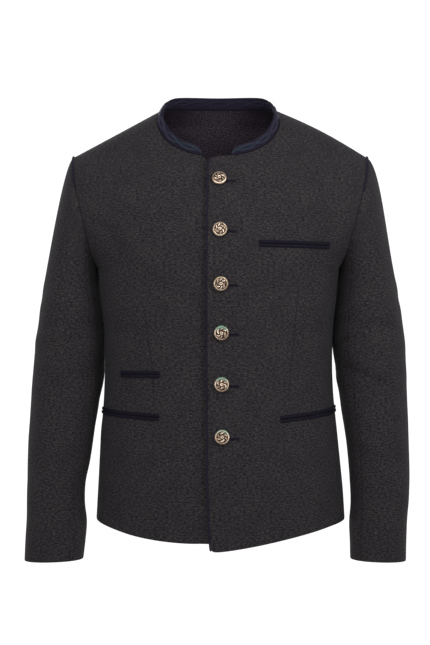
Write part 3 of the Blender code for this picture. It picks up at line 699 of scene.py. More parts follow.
    def armhole_rim(self):
        """Round the armhole from the shoulder seam over the front: turn, point, normal, out."""
        low = self.rows.index(SIDE_ROWS)
        top = len(self.rows) - 1
        loop = []
        for j in range(top, low, -1):
            turn = (ROWS - self.rows[j]) * 180.0 / ARM_ROWS
            loop.append((turn, self.front[j][-1], self.front_normals[j][-1], self.front[j][-4]))
        for j in range(low, top):
            turn = 180.0 + (self.rows[j] - SIDE_ROWS) * 180.0 / ARM_ROWS
            loop.append((turn, self.back[j][-1], self.back_normals[j][-1], self.back[j][-4]))
        rim = []
        for k, (turn, point, normal, inside) in enumerate(loop):
            along = loop[(k + 1) % len(loop)][1] - loop[k - 1][1]
            out = normal.cross(along).normalized()
            if abs(turn - 180.0) < 0.01:
                inside = self.front[low - 4][-1]
            if out.dot(point - inside) < 0.0:
                out = -out
            rim.append((turn, point, normal, out))
        return rim


def round_corner(grid, corner, one, other, radius):
    """Draw in the points near a square corner, so that its two edges meet in an arc."""
    corner = corner.copy()
    level = (one - corner).normalized()
    upright = (other - corner).normalized()
    for row in grid:
        for point in row:
            u = min(1.0 - (point - corner).dot(level) / radius, 1.0)
            v = min(1.0 - (point - corner).dot(upright) / radius, 1.0)
            if u > 0.0 and v > 0.0:
                point += level * (radius * u * (1.0 - math.sqrt(1.0 - v * v / 2)))
                point += upright * (radius * v * (1.0 - math.sqrt(1.0 - u * u / 2)))


def grid_normals(grid, sign):
    top = len(grid) - 1
    end = len(grid[0]) - 1
    normals = []
    for j, row in enumerate(grid):
        line = []
        for i in range(end + 1):
            across = row[min(i + 1, end)] - row[max(i - 1, 0)]
            up = grid[min(j + 1, top)][i] - grid[max(j - 1, 0)][i]
            line.append(across.cross(up).normalized() * sign)
        normals.append(line)
    return normals


def crease(grid, normals, rows, creases, strength, fore):
    """Press the soft creases of a panel into its points, less and less towards its seams."""
    for at, row, line in zip(rows, grid, normals):
        along = 0.0
        whole = sum((row[k + 1] - row[k]).length for k in range(len(row) - 1))
        for i, (point, normal) in enumerate(zip(row, line)):
            if i:
                along += (point - row[i - 1]).length
            free = smooth(0.002, 0.030, whole - along)
            free *= smooth(0.060, 0.085, along) if fore else smooth(0.004, 0.030, along)
            free *= smooth(0.1, 1.6, ROWS - at)
            if free <= 0.0:
                continue
            depth = 0.0
            for u, z, slope, length, width, deep in creases:
                du, dz = along - u, point.z - z
                if abs(du) > 3 * length or abs(dz) > 3 * length:
                    continue
                turn = math.radians(slope)
                s = du * math.cos(turn) + dz * math.sin(turn)
                t = dz * math.cos(turn) - du * math.sin(turn)
                form = bell(t / width) - 0.5 * bell((t - 1.7 * width) / (1.1 * width))
                depth += deep * bell(s / length) * form
            point += normal * (depth * free * strength)


# Meshes

class Cloth:
    """Points, faces and marks of one piece as it grows."""

    def __init__(self):
        self.points = []
        self.places = []
        self.marks = []
        self.faces = []
        self.slots = []

    def add(self, point, place, mark=0.0):
        self.points.append(point)
        self.places.append(place)
        self.marks.append(mark)
        return len(self.points) - 1

    def grid(self, grid, places, marks, slot, closed=False):
        """Faces of a grid and its corner numbers; slot may be a function of row and column."""
        number = [
            [self.add(p, place, mark) for p, place, mark in zip(*rows)]
            for rows in zip(grid, places, marks)
        ]
        wide = len(grid[0])
        for j in range(len(grid) - 1):
            for i in range(wide if closed else wide - 1):
                n = (i + 1) % wide
                self.faces.append((number[j][i], number[j][n], number[j + 1][n], number[j + 1][i]))
                self.slots.append(slot(j, i) if callable(slot) else slot)
        return number

    def shell(self, outer, inner, places, marks, inner_slot):
        """Two skins and the rim between them."""
        a = self.grid(outer, places, marks, 0)
        before = len(self.faces)
        b = self.grid(inner, places, marks, inner_slot)
        for k in range(before, len(self.faces)):
            self.faces[k] = self.faces[k][::-1]
        rows, columns = len(outer), len(outer[0])
        rim = [(0, i) for i in range(columns)]
        rim += [(j, columns - 1) for j in range(1, rows)]
        rim += [(rows - 1, i) for i in range(columns - 2, -1, -1)]
        rim += [(j, 0) for j in range(rows - 2, 0, -1)]
        for (j, i), (j2, i2) in zip(rim, rim[1:] + rim[:1]):
            self.faces.append((a[j][i], b[j][i], b[j2][i2], a[j2][i2]))
            self.slots.append(0)

    def build(self, name, materials, mirror, sharp=50.0):
        data = bpy.data.meshes.new(name)
        flip = -1.0 if mirror else 1.0
        data.from_pydata([(p.x * flip, p.y, p.z) for p in self.points], [], self.faces)
        for finish in materials:
            data.materials.append(finish)
        data.polygons.foreach_set("material_index", self.slots)
        layer = data.uv_layers.new(name="cloth")
        for loop in data.loops:
            layer.data[loop.index].uv = self.places[loop.vertex_index]
        marks = data.attributes.new("mark", "FLOAT", "POINT")
        marks.data.foreach_set("value", self.marks)
        if mirror:
            data.flip_normals()
        data.shade_smooth()
        data.set_sharp_from_angle(angle=math.radians(sharp))
        piece = bpy.data.objects.new(name, data)
        bpy.context.scene.collection.objects.link(piece)
        return piece


def cloth_places(grid, normals, lean, middle=0):
    """Place of each point on the flat cloth, in metres; its grain runs upright and leans that
    way at the shoulder."""

    def moved(place, j, i, n, m):
        normal = (normals[j][i] + normals[n][m]).normalized()
        upright = Vector((0.0, 0.0, 1.0)) + Vector(lean) * smooth(*GRAIN_LEANS, grid[j][i].z)
        level = upright.cross(normal).normalized()
        move = grid[n][m] - grid[j][i]
        return place[0] + move.dot(level), place[1] + move.dot(normal.cross(level))

    places = []
    wide = len(grid[0])
    for j in range(len(grid)):
        line = [(0.0, 0.0)] * wide
        if j:
            line[middle] = moved(places[-1][middle], j - 1, middle, j, middle)
        else:
            line[middle] = (grid[0][middle].x, grid[0][middle].z)
        for i in range(middle + 1, wide):
            line[i] = moved(line[i - 1], j, i - 1, j, i)
        for i in range(middle - 1, -1, -1):
            line[i] = moved(line[i + 1], j, i + 1, j, i)
        places.append(line)
    return places


def dressed(piece, node):
    """A piece rides on the jacket's body and stands for its solid, which it hides."""
    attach(piece, "root")
    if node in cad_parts:
        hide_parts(node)
    return piece


# Materials

class Nodes:
    """A material's node tree with short calls to add and link nodes."""

    def __init__(self, name, colour, roughness, metallic=0.0):
        self.material = bpy.data.materials.new(name)
        self.material.use_nodes = True
        self.material.diffuse_color = (*colour, 1.0)
        self.tree = self.material.node_tree
        self.shader = self.tree.nodes["Principled BSDF"]
        self.shader.inputs["Base Color"].default_value = (*colour, 1.0)
        self.shader.inputs["Roughness"].default_value = roughness
        self.shader.inputs["Metallic"].default_value = metallic

    def node(self, kind, links=None, **values):
        made = self.tree.nodes.new(f"ShaderNode{kind}")
        for name, value in values.items():
            setattr(made, name, value)
        for socket, value in (links or {}).items():
            if isinstance(value, bpy.types.NodeSocket):
                self.tree.links.new(value, made.inputs[socket])
            else:
                made.inputs[socket].default_value = value
        return made.outputs

    def math(self, operation, one, other):
        return self.node("Math", {0: one, 1: other}, operation=operation)[0]

    def both(self, one, share, other, rest):
        """Two values together, each times its share."""
        return self.math("ADD", self.math("MULTIPLY", one, share),
                         self.math("MULTIPLY", other, rest))

    def scaled(self, vector, scale, turn=0.0):
        links = {"Vector": vector, "Scale": scale, "Rotation": (0.0, 0.0, math.radians(turn))}
        return self.node("Mapping", links)[0]

    def noise(self, vector, scale, detail, rough):
        links = {"Vector": vector, "Scale": scale, "Detail": detail, "Roughness": rough}
        return self.node("TexNoise", links)[0]

    def yarn(self, flat, along, across, detail, rough, turn=0.0):
        """Noise drawn out along the threads of a cloth."""
        return self.noise(self.scaled(flat, (along, across, 1.0), turn), 1.0, detail, rough)

    def flat(self):
        """Place on the flat cloth."""
        return self.node("UVMap", uv_map="cloth")[0]

    def mark(self, name="mark"):
        """A value that the mesh carries at its points: painted shade in the dips, grooves and gaps
        of cloth and trim, painted light on the braid's cords near the collar's front ends, and on a
        button how far its relief stands out.
        """
        return self.node("Attribute", attribute_name=name)["Fac"]

    def ribs(self, flat, turn, scale, bend):
        """Fine ribs that slant by a number of degrees."""
        links = {"Vector": self.scaled(flat, (1.0, 1.0, 1.0), turn), "Scale": scale,
                 "Distortion": bend, "Detail": 1.0, "Detail Scale": 1.5}
        return self.node("TexWave", links, wave_type="BANDS", bands_direction="X")[1]

    def spread(self, value, low, high):
        return self.node("MapRange", {0: value, 3: low, 4: high})[0]

    def shaded(self, colour, value, low, high):
        """The colour times a shade; low and high each give the value's place and the shade."""
        shade = self.ramp(value, (low[0], low[1:]), (high[0], high[1:]))
        return self.blend(1.0, colour, shade, "MULTIPLY")

    def ramp(self, value, *stops):
        """A colour ramp; a stop is a place and a colour."""
        outputs = self.node("ValToRGB", {"Fac": value})
        ramp = self.tree.nodes[-1].color_ramp
        for k, (at, colour) in enumerate(stops):
            stop = ramp.elements[k] if k < 2 else ramp.elements.new(at)
            stop.position = at
            stop.color = (*colour, 1.0)
        return outputs[0]

    def blend(self, share, one, other, kind="MIX"):
        made = self.tree.nodes.new("ShaderNodeMix")
        made.data_type = "RGBA"
        made.blend_type = kind
        for place, value in ((0, share), (6, one), (7, other)):
            socket = made.inputs[place]
            if isinstance(value, bpy.types.NodeSocket):
                self.tree.links.new(value, socket)
            elif isinstance(value, tuple):
                socket.default_value = (*value, 1.0)
            else:
                socket.default_value = value
        return made.outputs[2]

    def bump(self, height, distance, strength, under=None):
        links = {"Height": height, "Distance": distance, "Strength": strength}
        if under is not None:
            links["Normal"] = under
        return self.node("Bump", links)[0]

    def woven(self, colour, rough, normal, gloss, sheen, nap=0.5, tint=(1.0, 1.0, 1.0)):
        """Finish of a cloth: colour and relief, and the sheen of its nap."""
        return self.set(Base_Color=colour, Roughness=rough, Normal=normal,
                        Specular_IOR_Level=gloss, Sheen_Weight=sheen, Sheen_Roughness=nap,
                        Sheen_Tint=(*tint, 1.0))

    def set(self, **sockets):
        for name, value in sockets.items():
            socket = self.shader.inputs[name.replace("_", " ")]
            if isinstance(value, bpy.types.NodeSocket):
                self.tree.links.new(value, socket)
            else:
                socket.default_value = value
        return self.material


def found(make):
    return bpy.data.materials.get(make.__name__) or make(make.__name__)


def wool(name):
    """Charcoal wool: mottled yarn in a fine twill with a short nap."""
    m = Nodes(name, (0.030, 0.029, 0.031), 0.95)
    flat = m.flat()
    fleck = m.noise(flat, 620.0, 3.0, 0.7)
    weft = m.yarn(flat, 260.0, 900.0, 2.0, 0.6)
    warp = m.yarn(flat, 900.0, 240.0, 2.0, 0.6)
    cloud = m.noise(flat, 28.0, 3.0, 0.6)
    twill = m.ribs(flat, 38.0, 210.0, 0.6)
    both = m.both(fleck, 0.55, m.both(weft, 0.5, warp, 0.5), 0.45)
    slub = m.yarn(flat, 215.0, 430.0, 1.0, 0.5)
    grey = m.ramp(
        both,
        (0.36, (0.0070, 0.0062, 0.0070)),
        (0.46, (0.0155, 0.0140, 0.0153)),
        (0.54, (0.0270, 0.0246, 0.0266)),
        (0.64, (0.0520, 0.0480, 0.0505)),
    )
    grey = m.shaded(grey, slub, (0.32, 0.48, 0.47, 0.50), (0.68, 1.54, 1.52, 1.53))
    colour = m.shaded(grey, cloud, (0.30, 0.86, 0.85, 0.87), (0.70, 1.10, 1.10, 1.08))
    colour = m.shaded(colour, twill, (0.10, 0.80, 0.80, 0.80), (0.70, 1.06, 1.06, 1.06))
    # Painted shade: the wool is darkened in the dips of seams and darts, by the mark.
    colour = m.blend(m.mark(), colour, (0.0060, 0.0058, 0.0070))
    soft = m.bump(cloud, 0.0015, 0.25)
    ridges = m.bump(twill, 0.0003, 0.45, m.bump(both, 0.0006, 0.55, soft))
    return m.woven(colour, m.spread(fleck, 0.82, 1.0), ridges, 0.12, 0.04, 0.45,
                   (0.75, 0.74, 0.80))


def navy(name):
    """Dark navy felted wool for the collar and the piping."""
    m = Nodes(name, (0.010, 0.010, 0.026), 0.85)
    flat = m.flat()
    fleck = m.noise(flat, 700.0, 3.0, 0.65)
    cloud = m.noise(flat, 60.0, 2.0, 0.5)
    ribs = m.ribs(flat, 52.0, 250.0, 0.5)
    colour = m.ramp(
        fleck,
        (0.34, (0.0050, 0.0039, 0.0086)),
        (0.52, (0.0106, 0.0082, 0.0184)),
        (0.68, (0.0230, 0.0185, 0.0370)),
    )
    colour = m.shaded(colour, cloud, (0.30, 0.85, 0.85, 0.85), (0.70, 1.15, 1.15, 1.15))
    # Painted shadow: the collar is darkened to near black along its lower edge, by the mark.
    colour = m.blend(m.mark(), colour, (0.0012, 0.0010, 0.0020))
    height = m.bump(ribs, 0.0003, 0.5, m.bump(fleck, 0.0004, 0.5))
    return m.woven(colour, m.spread(fleck, 0.70, 0.95), height, 0.12, 0.03, 0.4,
                   (0.65, 0.60, 0.85))


def cord(name):
    """Twisted navy cord with a silky gleam, its strands winding along it."""
    m = Nodes(name, (0.016, 0.022, 0.062), 0.55)
    flat = m.flat()
    strands = m.ribs(flat, 40.0, 190.0, 0.2)
    fibre = m.yarn(flat, 500.0, 1800.0, 2.0, 0.6, 40.0)
    colour = m.ramp(
        strands,
        (0.05, (0.0050, 0.0040, 0.0100)),
        (0.45, (0.0125, 0.0100, 0.0260)),
        (0.95, (0.0230, 0.0195, 0.0490)),
    )
    # Painted light: a lighter, tealer copy of the cord's colour, used near the collar's front ends
    # where light falls on them.
    bright = m.ramp(
        strands,
        (0.05, (0.0022, 0.0032, 0.0070)),
        (0.45, (0.0070, 0.0125, 0.0240)),
        (0.95, (0.0190, 0.0310, 0.0560)),
    )
    colour = m.blend(m.mark(), colour, bright)
    colour = m.shaded(colour, fibre, (0.30, 0.75, 0.75, 0.75), (0.70, 1.20, 1.20, 1.20))
    height = m.bump(fibre, 0.0002, 0.4, m.bump(strands, 0.0006, 0.8))
    return m.woven(colour, m.spread(fibre, 0.42, 0.70), height, 0.25, 0.04, 0.35,
                   (0.6, 0.6, 0.9))


def welt_cloth(name):
    """Navy cloth rolled over a cord, darker than the collar and finely ribbed."""
    m = Nodes(name, (0.007, 0.006, 0.016), 0.8)
    flat = m.flat()
    fleck = m.noise(flat, 750.0, 3.0, 0.65)
    ribs = m.ribs(flat, 62.0, 300.0, 0.3)
    colour = m.ramp(
        fleck,
        (0.34, (0.0024, 0.0017, 0.0044)),
        (0.54, (0.0054, 0.0039, 0.0098)),
        (0.70, (0.0125, 0.0098, 0.0200)),
    )
    # Painted shade: the welt is darkened in its groove and along its edges, by the mark.
    colour = m.blend(m.mark(), colour, (0.0012, 0.0012, 0.0022))
    height = m.bump(ribs, 0.0003, 0.55, m.bump(fleck, 0.0003, 0.4))
    return m.woven(colour, m.spread(fleck, 0.66, 0.92), height, 0.12, 0.02, 0.4, (0.6, 0.6, 0.9))


def thread(name):
    """Navy silk thread of the buttonholes."""
    m = Nodes(name, (0.014, 0.012, 0.045), 0.45)
    fibre = m.yarn(m.flat(), 2600.0, 500.0, 2.0, 0.5)
    colour = m.ramp(fibre, (0.30, (0.0020, 0.0010, 0.0044)), (0.72, (0.0066, 0.0032, 0.0140)))
    # Painted shade: the thread is darkened in the slit and between the stitches, by the mark.
    colour = m.blend(m.mark(), colour, (0.0012, 0.0010, 0.0026))
    return m.woven(colour, 0.6, m.bump(fibre, 0.0002, 0.5), 0.15, 0.02)


def lining(name):
    """Dark aubergine lining with a fine diagonal and a soft gleam."""
    m = Nodes(name, (0.022, 0.017, 0.024), 0.62)
    flat = m.flat()
    fleck = m.noise(flat, 420.0, 2.0, 0.6)
    cloud = m.noise(flat, 22.0, 3.0, 0.6)
    ribs = m.ribs(flat, -42.0, 260.0, 0.3)
    colour = m.ramp(
        fleck,
        (0.36, (0.0060, 0.0040, 0.0070)),
        (0.52, (0.0190, 0.0138, 0.0210)),
        (0.66, (0.0460, 0.0350, 0.0480)),
    )
    colour = m.shaded(colour, cloud, (0.30, 0.84, 0.84, 0.84), (0.70, 1.14, 1.12, 1.12))
    height = m.bump(ribs, 0.0002, 0.35, m.bump(cloud, 0.002, 0.3))
    return m.woven(colour, m.spread(fleck, 0.52, 0.74), height, 0.15, 0.02, 0.3)


def antique(name):
    """Old brass: bright where it is rubbed, brown in the hollows, a little green patina."""
    m = Nodes(name, (0.34, 0.23, 0.13), 0.38, 1.0)
    place = m.node("TexCoord")["Object"]
    raised = m.mark()
    green = m.mark("patina")
    grain = m.noise(place, 1500.0, 3.0, 0.6)
    cloud = m.noise(place, 260.0, 3.0, 0.6)
    spot = m.noise(place, 620.0, 2.0, 0.5)
    worn = m.math("ADD", raised, m.math("MULTIPLY", m.math("SUBTRACT", cloud, 0.5), 0.55))
    worn = m.math("ADD", worn, m.math("MULTIPLY", m.math("SUBTRACT", spot, 0.5), 1.1))
    colour = m.ramp(
        worn,
        (0.04, (0.030, 0.020, 0.018)),
        (0.24, (0.190, 0.128, 0.098)),
        (0.54, (0.520, 0.375, 0.270)),
        (0.90, (0.880, 0.760, 0.600)),
    )
    spots = m.math("MULTIPLY", green, m.node("MapRange", {0: cloud, 1: 0.36, 2: 0.50})[0])
    colour = m.blend(spots, colour, (0.110, 0.250, 0.190))
    rough = m.node("MapRange", {0: worn, 1: 0.1, 2: 0.9, 3: 0.62, 4: 0.26})[0]
    metal = m.math("SUBTRACT", 1.0, m.math("MULTIPLY", spots, 0.8))
    return m.set(Base_Color=colour, Roughness=rough, Metallic=metal,
                 Normal=m.bump(grain, 0.0002, 0.35))


def floor_paint(name):
    m = Nodes(name, (0.80, 0.80, 0.79), 0.7)
    place = m.node("TexCoord")["Object"]
    cloud = m.noise(place, 3.0, 3.0, 0.5)
    colour = m.ramp(cloud, (0.35, (0.78, 0.78, 0.775)), (0.65, (0.82, 0.82, 0.815)))
    return m.set(Base_Color=colour, Roughness=0.7)


# Body and sleeves

def seam_marks(rows, columns, dart_ends, grid):
    """1 in the dip of a seam or a dart, 0 on plain cloth; the cloth sinks there and painted shade
    darkens it.
    """
    marks = []
    for at, row in zip(rows, grid):
        line = []
        for column, point in zip(columns, row):
            mark = 0.0
            if column == COLUMNS or at == ROWS:
                mark = SEAM_DIP_AND_SHADE
            if dart_ends and column == DART_COLUMN:
                low, high = dart_ends
                mark = max(mark, DART_DIP_AND_SHADE * smooth(low, low + DART_FADE, point.z)
                           * (1.0 - smooth(high - DART_FADE, high, point.z)))
            line.append(mark)
        marks.append(line)
    return marks


def build_panel(half, kind, cloth):
    """A front or a back: cloth outside, facing and lining inside."""
    fore = kind == "front"
    grid = half.front if fore else half.back
    normals = half.front_normals if fore else half.back_normals
    columns = half.front_columns if fore else half.back_columns
    rows = half.rows
    dart_ends = DART_ENDS[half.side] if fore else None
    marks = seam_marks(rows, columns, dart_ends, grid)
    if not fore:
        for j, at in enumerate(rows):
            if at <= CENTRE_ROWS:
                marks[j][0] = SEAM_DIP_AND_SHADE
    cells = []
    for j, (row, line) in enumerate(zip(grid, normals)):
        cells.append([])
        for i, (point, normal) in enumerate(zip(row, line)):
            edge = j in (0, len(rows) - 1) or i in (0, len(columns) - 1)
            sink = cloth.seam_dip * marks[j][i]
            turn = EDGE_TURN * cloth.wall if edge and not sink else 0.0
            cells[-1].append((point - normal * (sink + turn), point - normal * (cloth.wall - turn)))

    def inside(j, i):
        if rows[j] < HEM_TURN:
            return 0
        if fore and columns[i] * LEAD_WIDTH < FACING:
            return 0
        return 1

    made = Cloth()
    lean = (0.0, GRAIN_LEAN if fore else -GRAIN_LEAN, 0.0)
    made.shell(*split(cells), cloth_places(grid, normals, lean), marks, inside)
    name = f"{kind}_{half.side}"
    finishes = [found(wool), found(lining)]
    piece = made.build(f"cloth_{name}", finishes, half.side == "right")
    return dressed(piece, name)


def build_back_lining(half, cloth):
    """Lining inside the back, from the middle of the back up to neck and shoulder."""
    rows = [j for j, at in enumerate(half.rows) if at >= LINING_ROW]
    columns = [i for i, at in enumerate(half.back_columns) if at <= COLUMNS - 1]
    skins = []
    for gap in LINING_GAPS:
        skins.append([[half.back[j][i] - half.back_normals[j][i] * (cloth.wall + gap)
                       for i in columns] for j in rows])
    normals = [[half.back_normals[j][i] for i in columns] for j in rows]
    places = cloth_places(skins[0], normals, (0.0, -GRAIN_LEAN, 0.0))
    marks = [[0.0] * len(columns) for _ in rows]
    made = Cloth()
    made.shell(*skins, places, marks, 0)
    name = f"back_lining_{half.side}"
    piece = made.build(f"cloth_{name}", [found(lining)], half.side == "right")
    return dressed(piece, name)


def fold_at(folds, z, turn):
    """How far the sleeve's cloth stands out or sinks in at a place."""
    total = 0.0
    for z0, turn0, slope, tall, wide, depth in folds:
        away = (turn - turn0 + 180.0) % 360.0 - 180.0
        if abs(away) > 2.6 * wide:
            continue
        t = (z - z0 - slope * away) / tall
        if abs(t) > 4.0:
            continue
        form = bell(t)
        if slope:
            form -= 0.45 * bell((t - 1.7) / 1.1)
        total += depth * form * bell(away / wide)
    return total


def ring_point(side, drop, turn, strength):
    """A point of the sleeve below its head."""
    outer, inner, middle, depth = [
        read(SLEEVES, f"{side}_{name}", drop) for name in ("outer", "inner", "middle", "depth")
    ]
    z = read(SLEEVES, "z", drop)
    fold = fold_at(SLEEVE_FOLDS[side], z, turn) * strength
    angle = math.radians(turn)
    across, along = [
        math.copysign(abs(part) ** RING_SQUARE, part) for part in (math.cos(angle), math.sin(angle))
    ]
    wide = (outer - inner) / 2
    x = (outer + inner) / 2 + (wide + fold) * across
    y = middle - (depth / 2 + fold) * along
    return Vector((x, y, z + read(SLEEVES, "tilt", drop) * wide * across))


def sleeve_rings(half, cloth):
    """Rings of a sleeve from the armhole to the cuff."""
    fine = cloth.fineness
    turns = [turn for turn, _, _, _ in half.rim]
    runs_on = []
    for turn, point, _, _ in half.rim:
        swell = mix(1.0, HEAD_SWELL[half.side], math.cos(math.radians(turn) / 2) ** 2)
        leave = place(SLEEVE_HEAD, turn).normalized() * read(SLEEVE_HEAD, "start", turn) * swell
        ahead = ring_point(half.side, 1, turn, 0.0) - ring_point(half.side, 0, turn, 0.0)
        arrive = ahead.normalized() * read(SLEEVE_HEAD, "end", turn)
        end = ring_point(half.side, 0, turn, cloth.creases)
        runs_on.append((point.copy(), leave, end, arrive))
    parts = [0.0, 0.02] + [k / (HEAD_RINGS * fine) for k in range(1, HEAD_RINGS * fine)]
    rings = [[curve(part, *way) for way in runs_on] for part in parts]
    drops = [k / fine for k in range(LAST_DROP * fine + 1)] + [LAST_DROP - 0.05]
    for drop in sorted(drops):
        rings.append([ring_point(half.side, drop, turn, cloth.creases) for turn in turns])
    return rings


def ring_normals(rings):
    count = len(rings[0])
    normals = []
    for j, ring in enumerate(rings):
        line = []
        for i in range(count):
            across = ring[(i + 1) % count] - ring[i - 1]
            down = rings[min(j + 1, len(rings) - 1)][i] - rings[max(j - 1, 0)][i]
            line.append(across.cross(down).normalized())
        normals.append(line)
    return normals


def build_sleeve(half, part, cloth):
    """The upper or the under sleeve, wool outside and lining inside."""
    rings = sleeve_rings(half, cloth)
    normals = ring_normals(rings)
    for k, (_, _, normal, _) in enumerate(half.rim):
        normals[0][k] = normal.copy()
    count = len(rings[0])
    turns = [turn for turn, _, _, _ in half.rim]
    seams = [SEAM_FRONT * 360.0 / ROWS, SEAM_BACK * 360.0 / ROWS]
    fore, hind = [min(range(count), key=lambda k: abs(turns[k] - seam)) for seam in seams]
    first, last = (hind, fore) if part == "upper" else (fore, hind)
    picked = [(first + k) % count for k in range((last - first) % count + 1)]
    low = len(rings) - 1
    cells = []
    facings = [[line[i] for i in picked] for line in normals]
    for j, (ring, line) in enumerate(zip(rings, normals)):
        cells.append([])
        turn = EDGE_TURN * cloth.wall if j == low else 0.0
        for i in picked:
            mark = ARMHOLE_DIP_AND_SHADE if j == 0 else SEAM_DIP_AND_SHADE if i in (first, last) else 0.0
            cells[-1].append((ring[i] - line[i] * (cloth.seam_dip * mark + turn),
                              ring[i] - line[i] * (cloth.wall - turn), mark))
    outer, inner, marks = split(cells)
    turned = low - CUFF_TURN
    made = Cloth()
    places = cloth_places(outer, facings, (-GRAIN_LEAN, 0.0, 0.0), len(picked) // 2)
    made.shell(outer, inner, places, marks, lambda j, i: 0 if j > turned else 1)
    made.faces = [face[::-1] for face in made.faces]
    name = f"sleeve_{half.side}_{part}"
    finishes = [found(wool), found(lining)]
    piece = made.build(f"cloth_{name}", finishes, half.side == "right")
    return dressed(piece, name)


# Collar and braid

def neck_rim(grid, normals, rows, first):
    """Along the neckline of a panel: point, normal, and the way out to the neck."""
    rim = []
    start = rows.index(first)
    last = len(rows) - 1
    for j in range(start, last + 1):
        point = grid[j][0]
        along = grid[min(j + 1, last)][0] - grid[max(j - 1, start)][0]
        out = normals[j][0].cross(along).normalized()
        if out.dot(point - grid[j][4]) < 0.0:
            out = -out
        rim.append((rows[j], point, normals[j][0], out))
    return rim


def collar_half(half):
    """Sections of half the collar from its front end to the centre back."""
    fore = neck_rim(half.front, half.front_normals, half.rows, EDGE_ROWS + 1)
    hind = neck_rim(half.back, half.back_normals, half.rows, CENTRE_ROWS)
    rim = []
    for at, point, normal, out in fore:
        part = (at - EDGE_ROWS - 1) / (ROWS - EDGE_ROWS - 1)
        rim.append((mix(COLLAR_END[half.side], 90.0, part), point, normal, out))
    for at, point, normal, out in hind[-2::-1]:
        part = (at - CENTRE_ROWS) / (ROWS - CENTRE_ROWS)
        rim.append((mix(180.0, 90.0, part), point, normal, out))
    sections = []
    gone = runs([point for _, point, _, _ in rim])
    for run, (turn, point, normal, out) in zip(gone, rim):
        inward = Vector((-point.x, -point.y, 0.0)).normalized()
        height = inward * read(COLLAR, "lean", turn)
        height.z = read(COLLAR, "rise", turn)
        part = min(run / COLLAR_CURVE, 1.0)
        height *= COLLAR_LOW + (1.0 - COLLAR_LOW) * math.sqrt(1.0 - (1.0 - part) ** 2)
        rise = height.normalized()
        bend = max(math.atan2(rise.dot(normal), rise.dot(out)), 0.0)
        facing = (normal * math.cos(bend) - out * math.sin(bend)).normalized()
        sections.append((point.copy(), height, facing))
    return sections


def collar_sections(left, right):
    flip = Vector((-1.0, 1.0, 1.0))
    other = [(p * flip, h * flip, f * flip) for p, h, f in collar_half(right)]
    return other + collar_half(left)[-2::-1]


def build_collar(sections):
    """The stand collar with a rounded upper edge."""
    cells = []
    for run, (foot, height, facing) in zip(runs([foot for foot, _, _ in sections]), sections):
        cells.append([])
        for share, wide in zip(*COLLAR_PROFILE.values()):
            point = foot + height * share
            thin = (1.0 - wide) * COLLAR_ROUND
            cells[-1].append((point - facing * COLLAR_WALL * thin,
                              point - facing * COLLAR_WALL * (1.0 - thin),
                              (run, height.length * share)))
    # Painted shadow: the cloth is darkened towards its lower edge, along the seam to the neckline.
    marks = [0.9 * (1.0 - smooth(0.0, 0.2, share)) for share in COLLAR_PROFILE["share"]]
    made = Cloth()
    made.shell(*split(cells), [marks] * len(cells), 0)
    piece = made.build("cloth_collar", [found(navy)], False)
    return dressed(piece, "collar")


def add_tube(made, path, radius, sides=8, shades=None):
    """A round cord along a path; its radius may be a number for each point."""
    last = len(path) - 1
    radii = radius if isinstance(radius, list) else [radius] * len(path)
    up = (path[1] - path[0]).orthogonal().normalized()
    cells = []
    for k, (point, run) in enumerate(zip(path, runs(path))):
        ahead = (path[min(k + 1, last)] - path[max(k - 1, 0)]).normalized()
        up = (up - ahead * up.dot(ahead)).normalized()
        side = ahead.cross(up)
        cells.append([])
        for n in range(sides):
            turn = 2 * math.pi * n / sides
            spot = point + (up * math.cos(turn) + side * math.sin(turn)) * radii[k]
            cells[-1].append((spot, (run, turn * radii[k])))
    marks = [[shade] * sides for shade in shades or [0.0] * len(path)]
    corners = made.grid(*split(cells), marks, 0, closed=True)
    made.faces += [tuple(corners[0][::-1]), tuple(corners[-1])]
    made.slots += [0, 0]


def along_collar(sections, run, aside, lift, inside):
    """A point over the collar's face at a distance along it and from its middle line."""
    gone = 0.0
    foot, height, facing = sections[-1]
    for one, other in zip(sections, sections[1:]):
        step = (other[0] - one[0]).length
        if gone + step >= run:
            foot, height, facing = [p.lerp(q, (run - gone) / step) for p, q in zip(one, other)]
            break
        gone += step
    facing = facing.normalized()
    level = foot + height * BRAID_LEVEL + height.normalized() * aside
    return level - facing * (COLLAR_WALL + lift) if inside else level + facing * lift


def build_braid(sections, trim):
    """Two flat braids of two cords each, that part in long lenses and cross between them."""
    length = runs([foot for foot, _, _ in sections])[-1]
    steps = round(length / trim.braid_step)
    lenses = round((length - 2 * BRAID_LEAD) / trim.braid_period)
    made = Cloth()
    for inside, thick, lift in ((False, 1.0, 0.0004), (True, 0.8, 0.0001)):
        radius = trim.cord_radius * thick
        for sign in (1.0, -1.0):
            for strand in (-0.95, 0.95):
                path, shades = [], []
                for k in range(steps + 1):
                    run = length * k / steps
                    part = min(max((run - BRAID_LEAD) / (length - 2 * BRAID_LEAD), 0.0), 1.0)
                    phase = math.pi * lenses * part
                    swing = math.copysign(abs(math.sin(phase)) ** 0.8, math.sin(phase))
                    aside = sign * trim.braid_spread * swing + strand * radius
                    over = 0.5 * radius * sign * math.cos(phase)
                    path.append(along_collar(sections, run, aside, lift + over, inside))
                    # Painted light: 1 near the collar's front ends, fading to 0 further round.
                    shades.append(1.0 - smooth(*BRAID_PAINTED_LIGHT, min(run, length - run)))
                add_tube(made, path, radius, shades=shades)
    piece = made.build("collar_braid", [found(cord)], False)
    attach(piece, "root")
    return piece


# Trim on the fronts

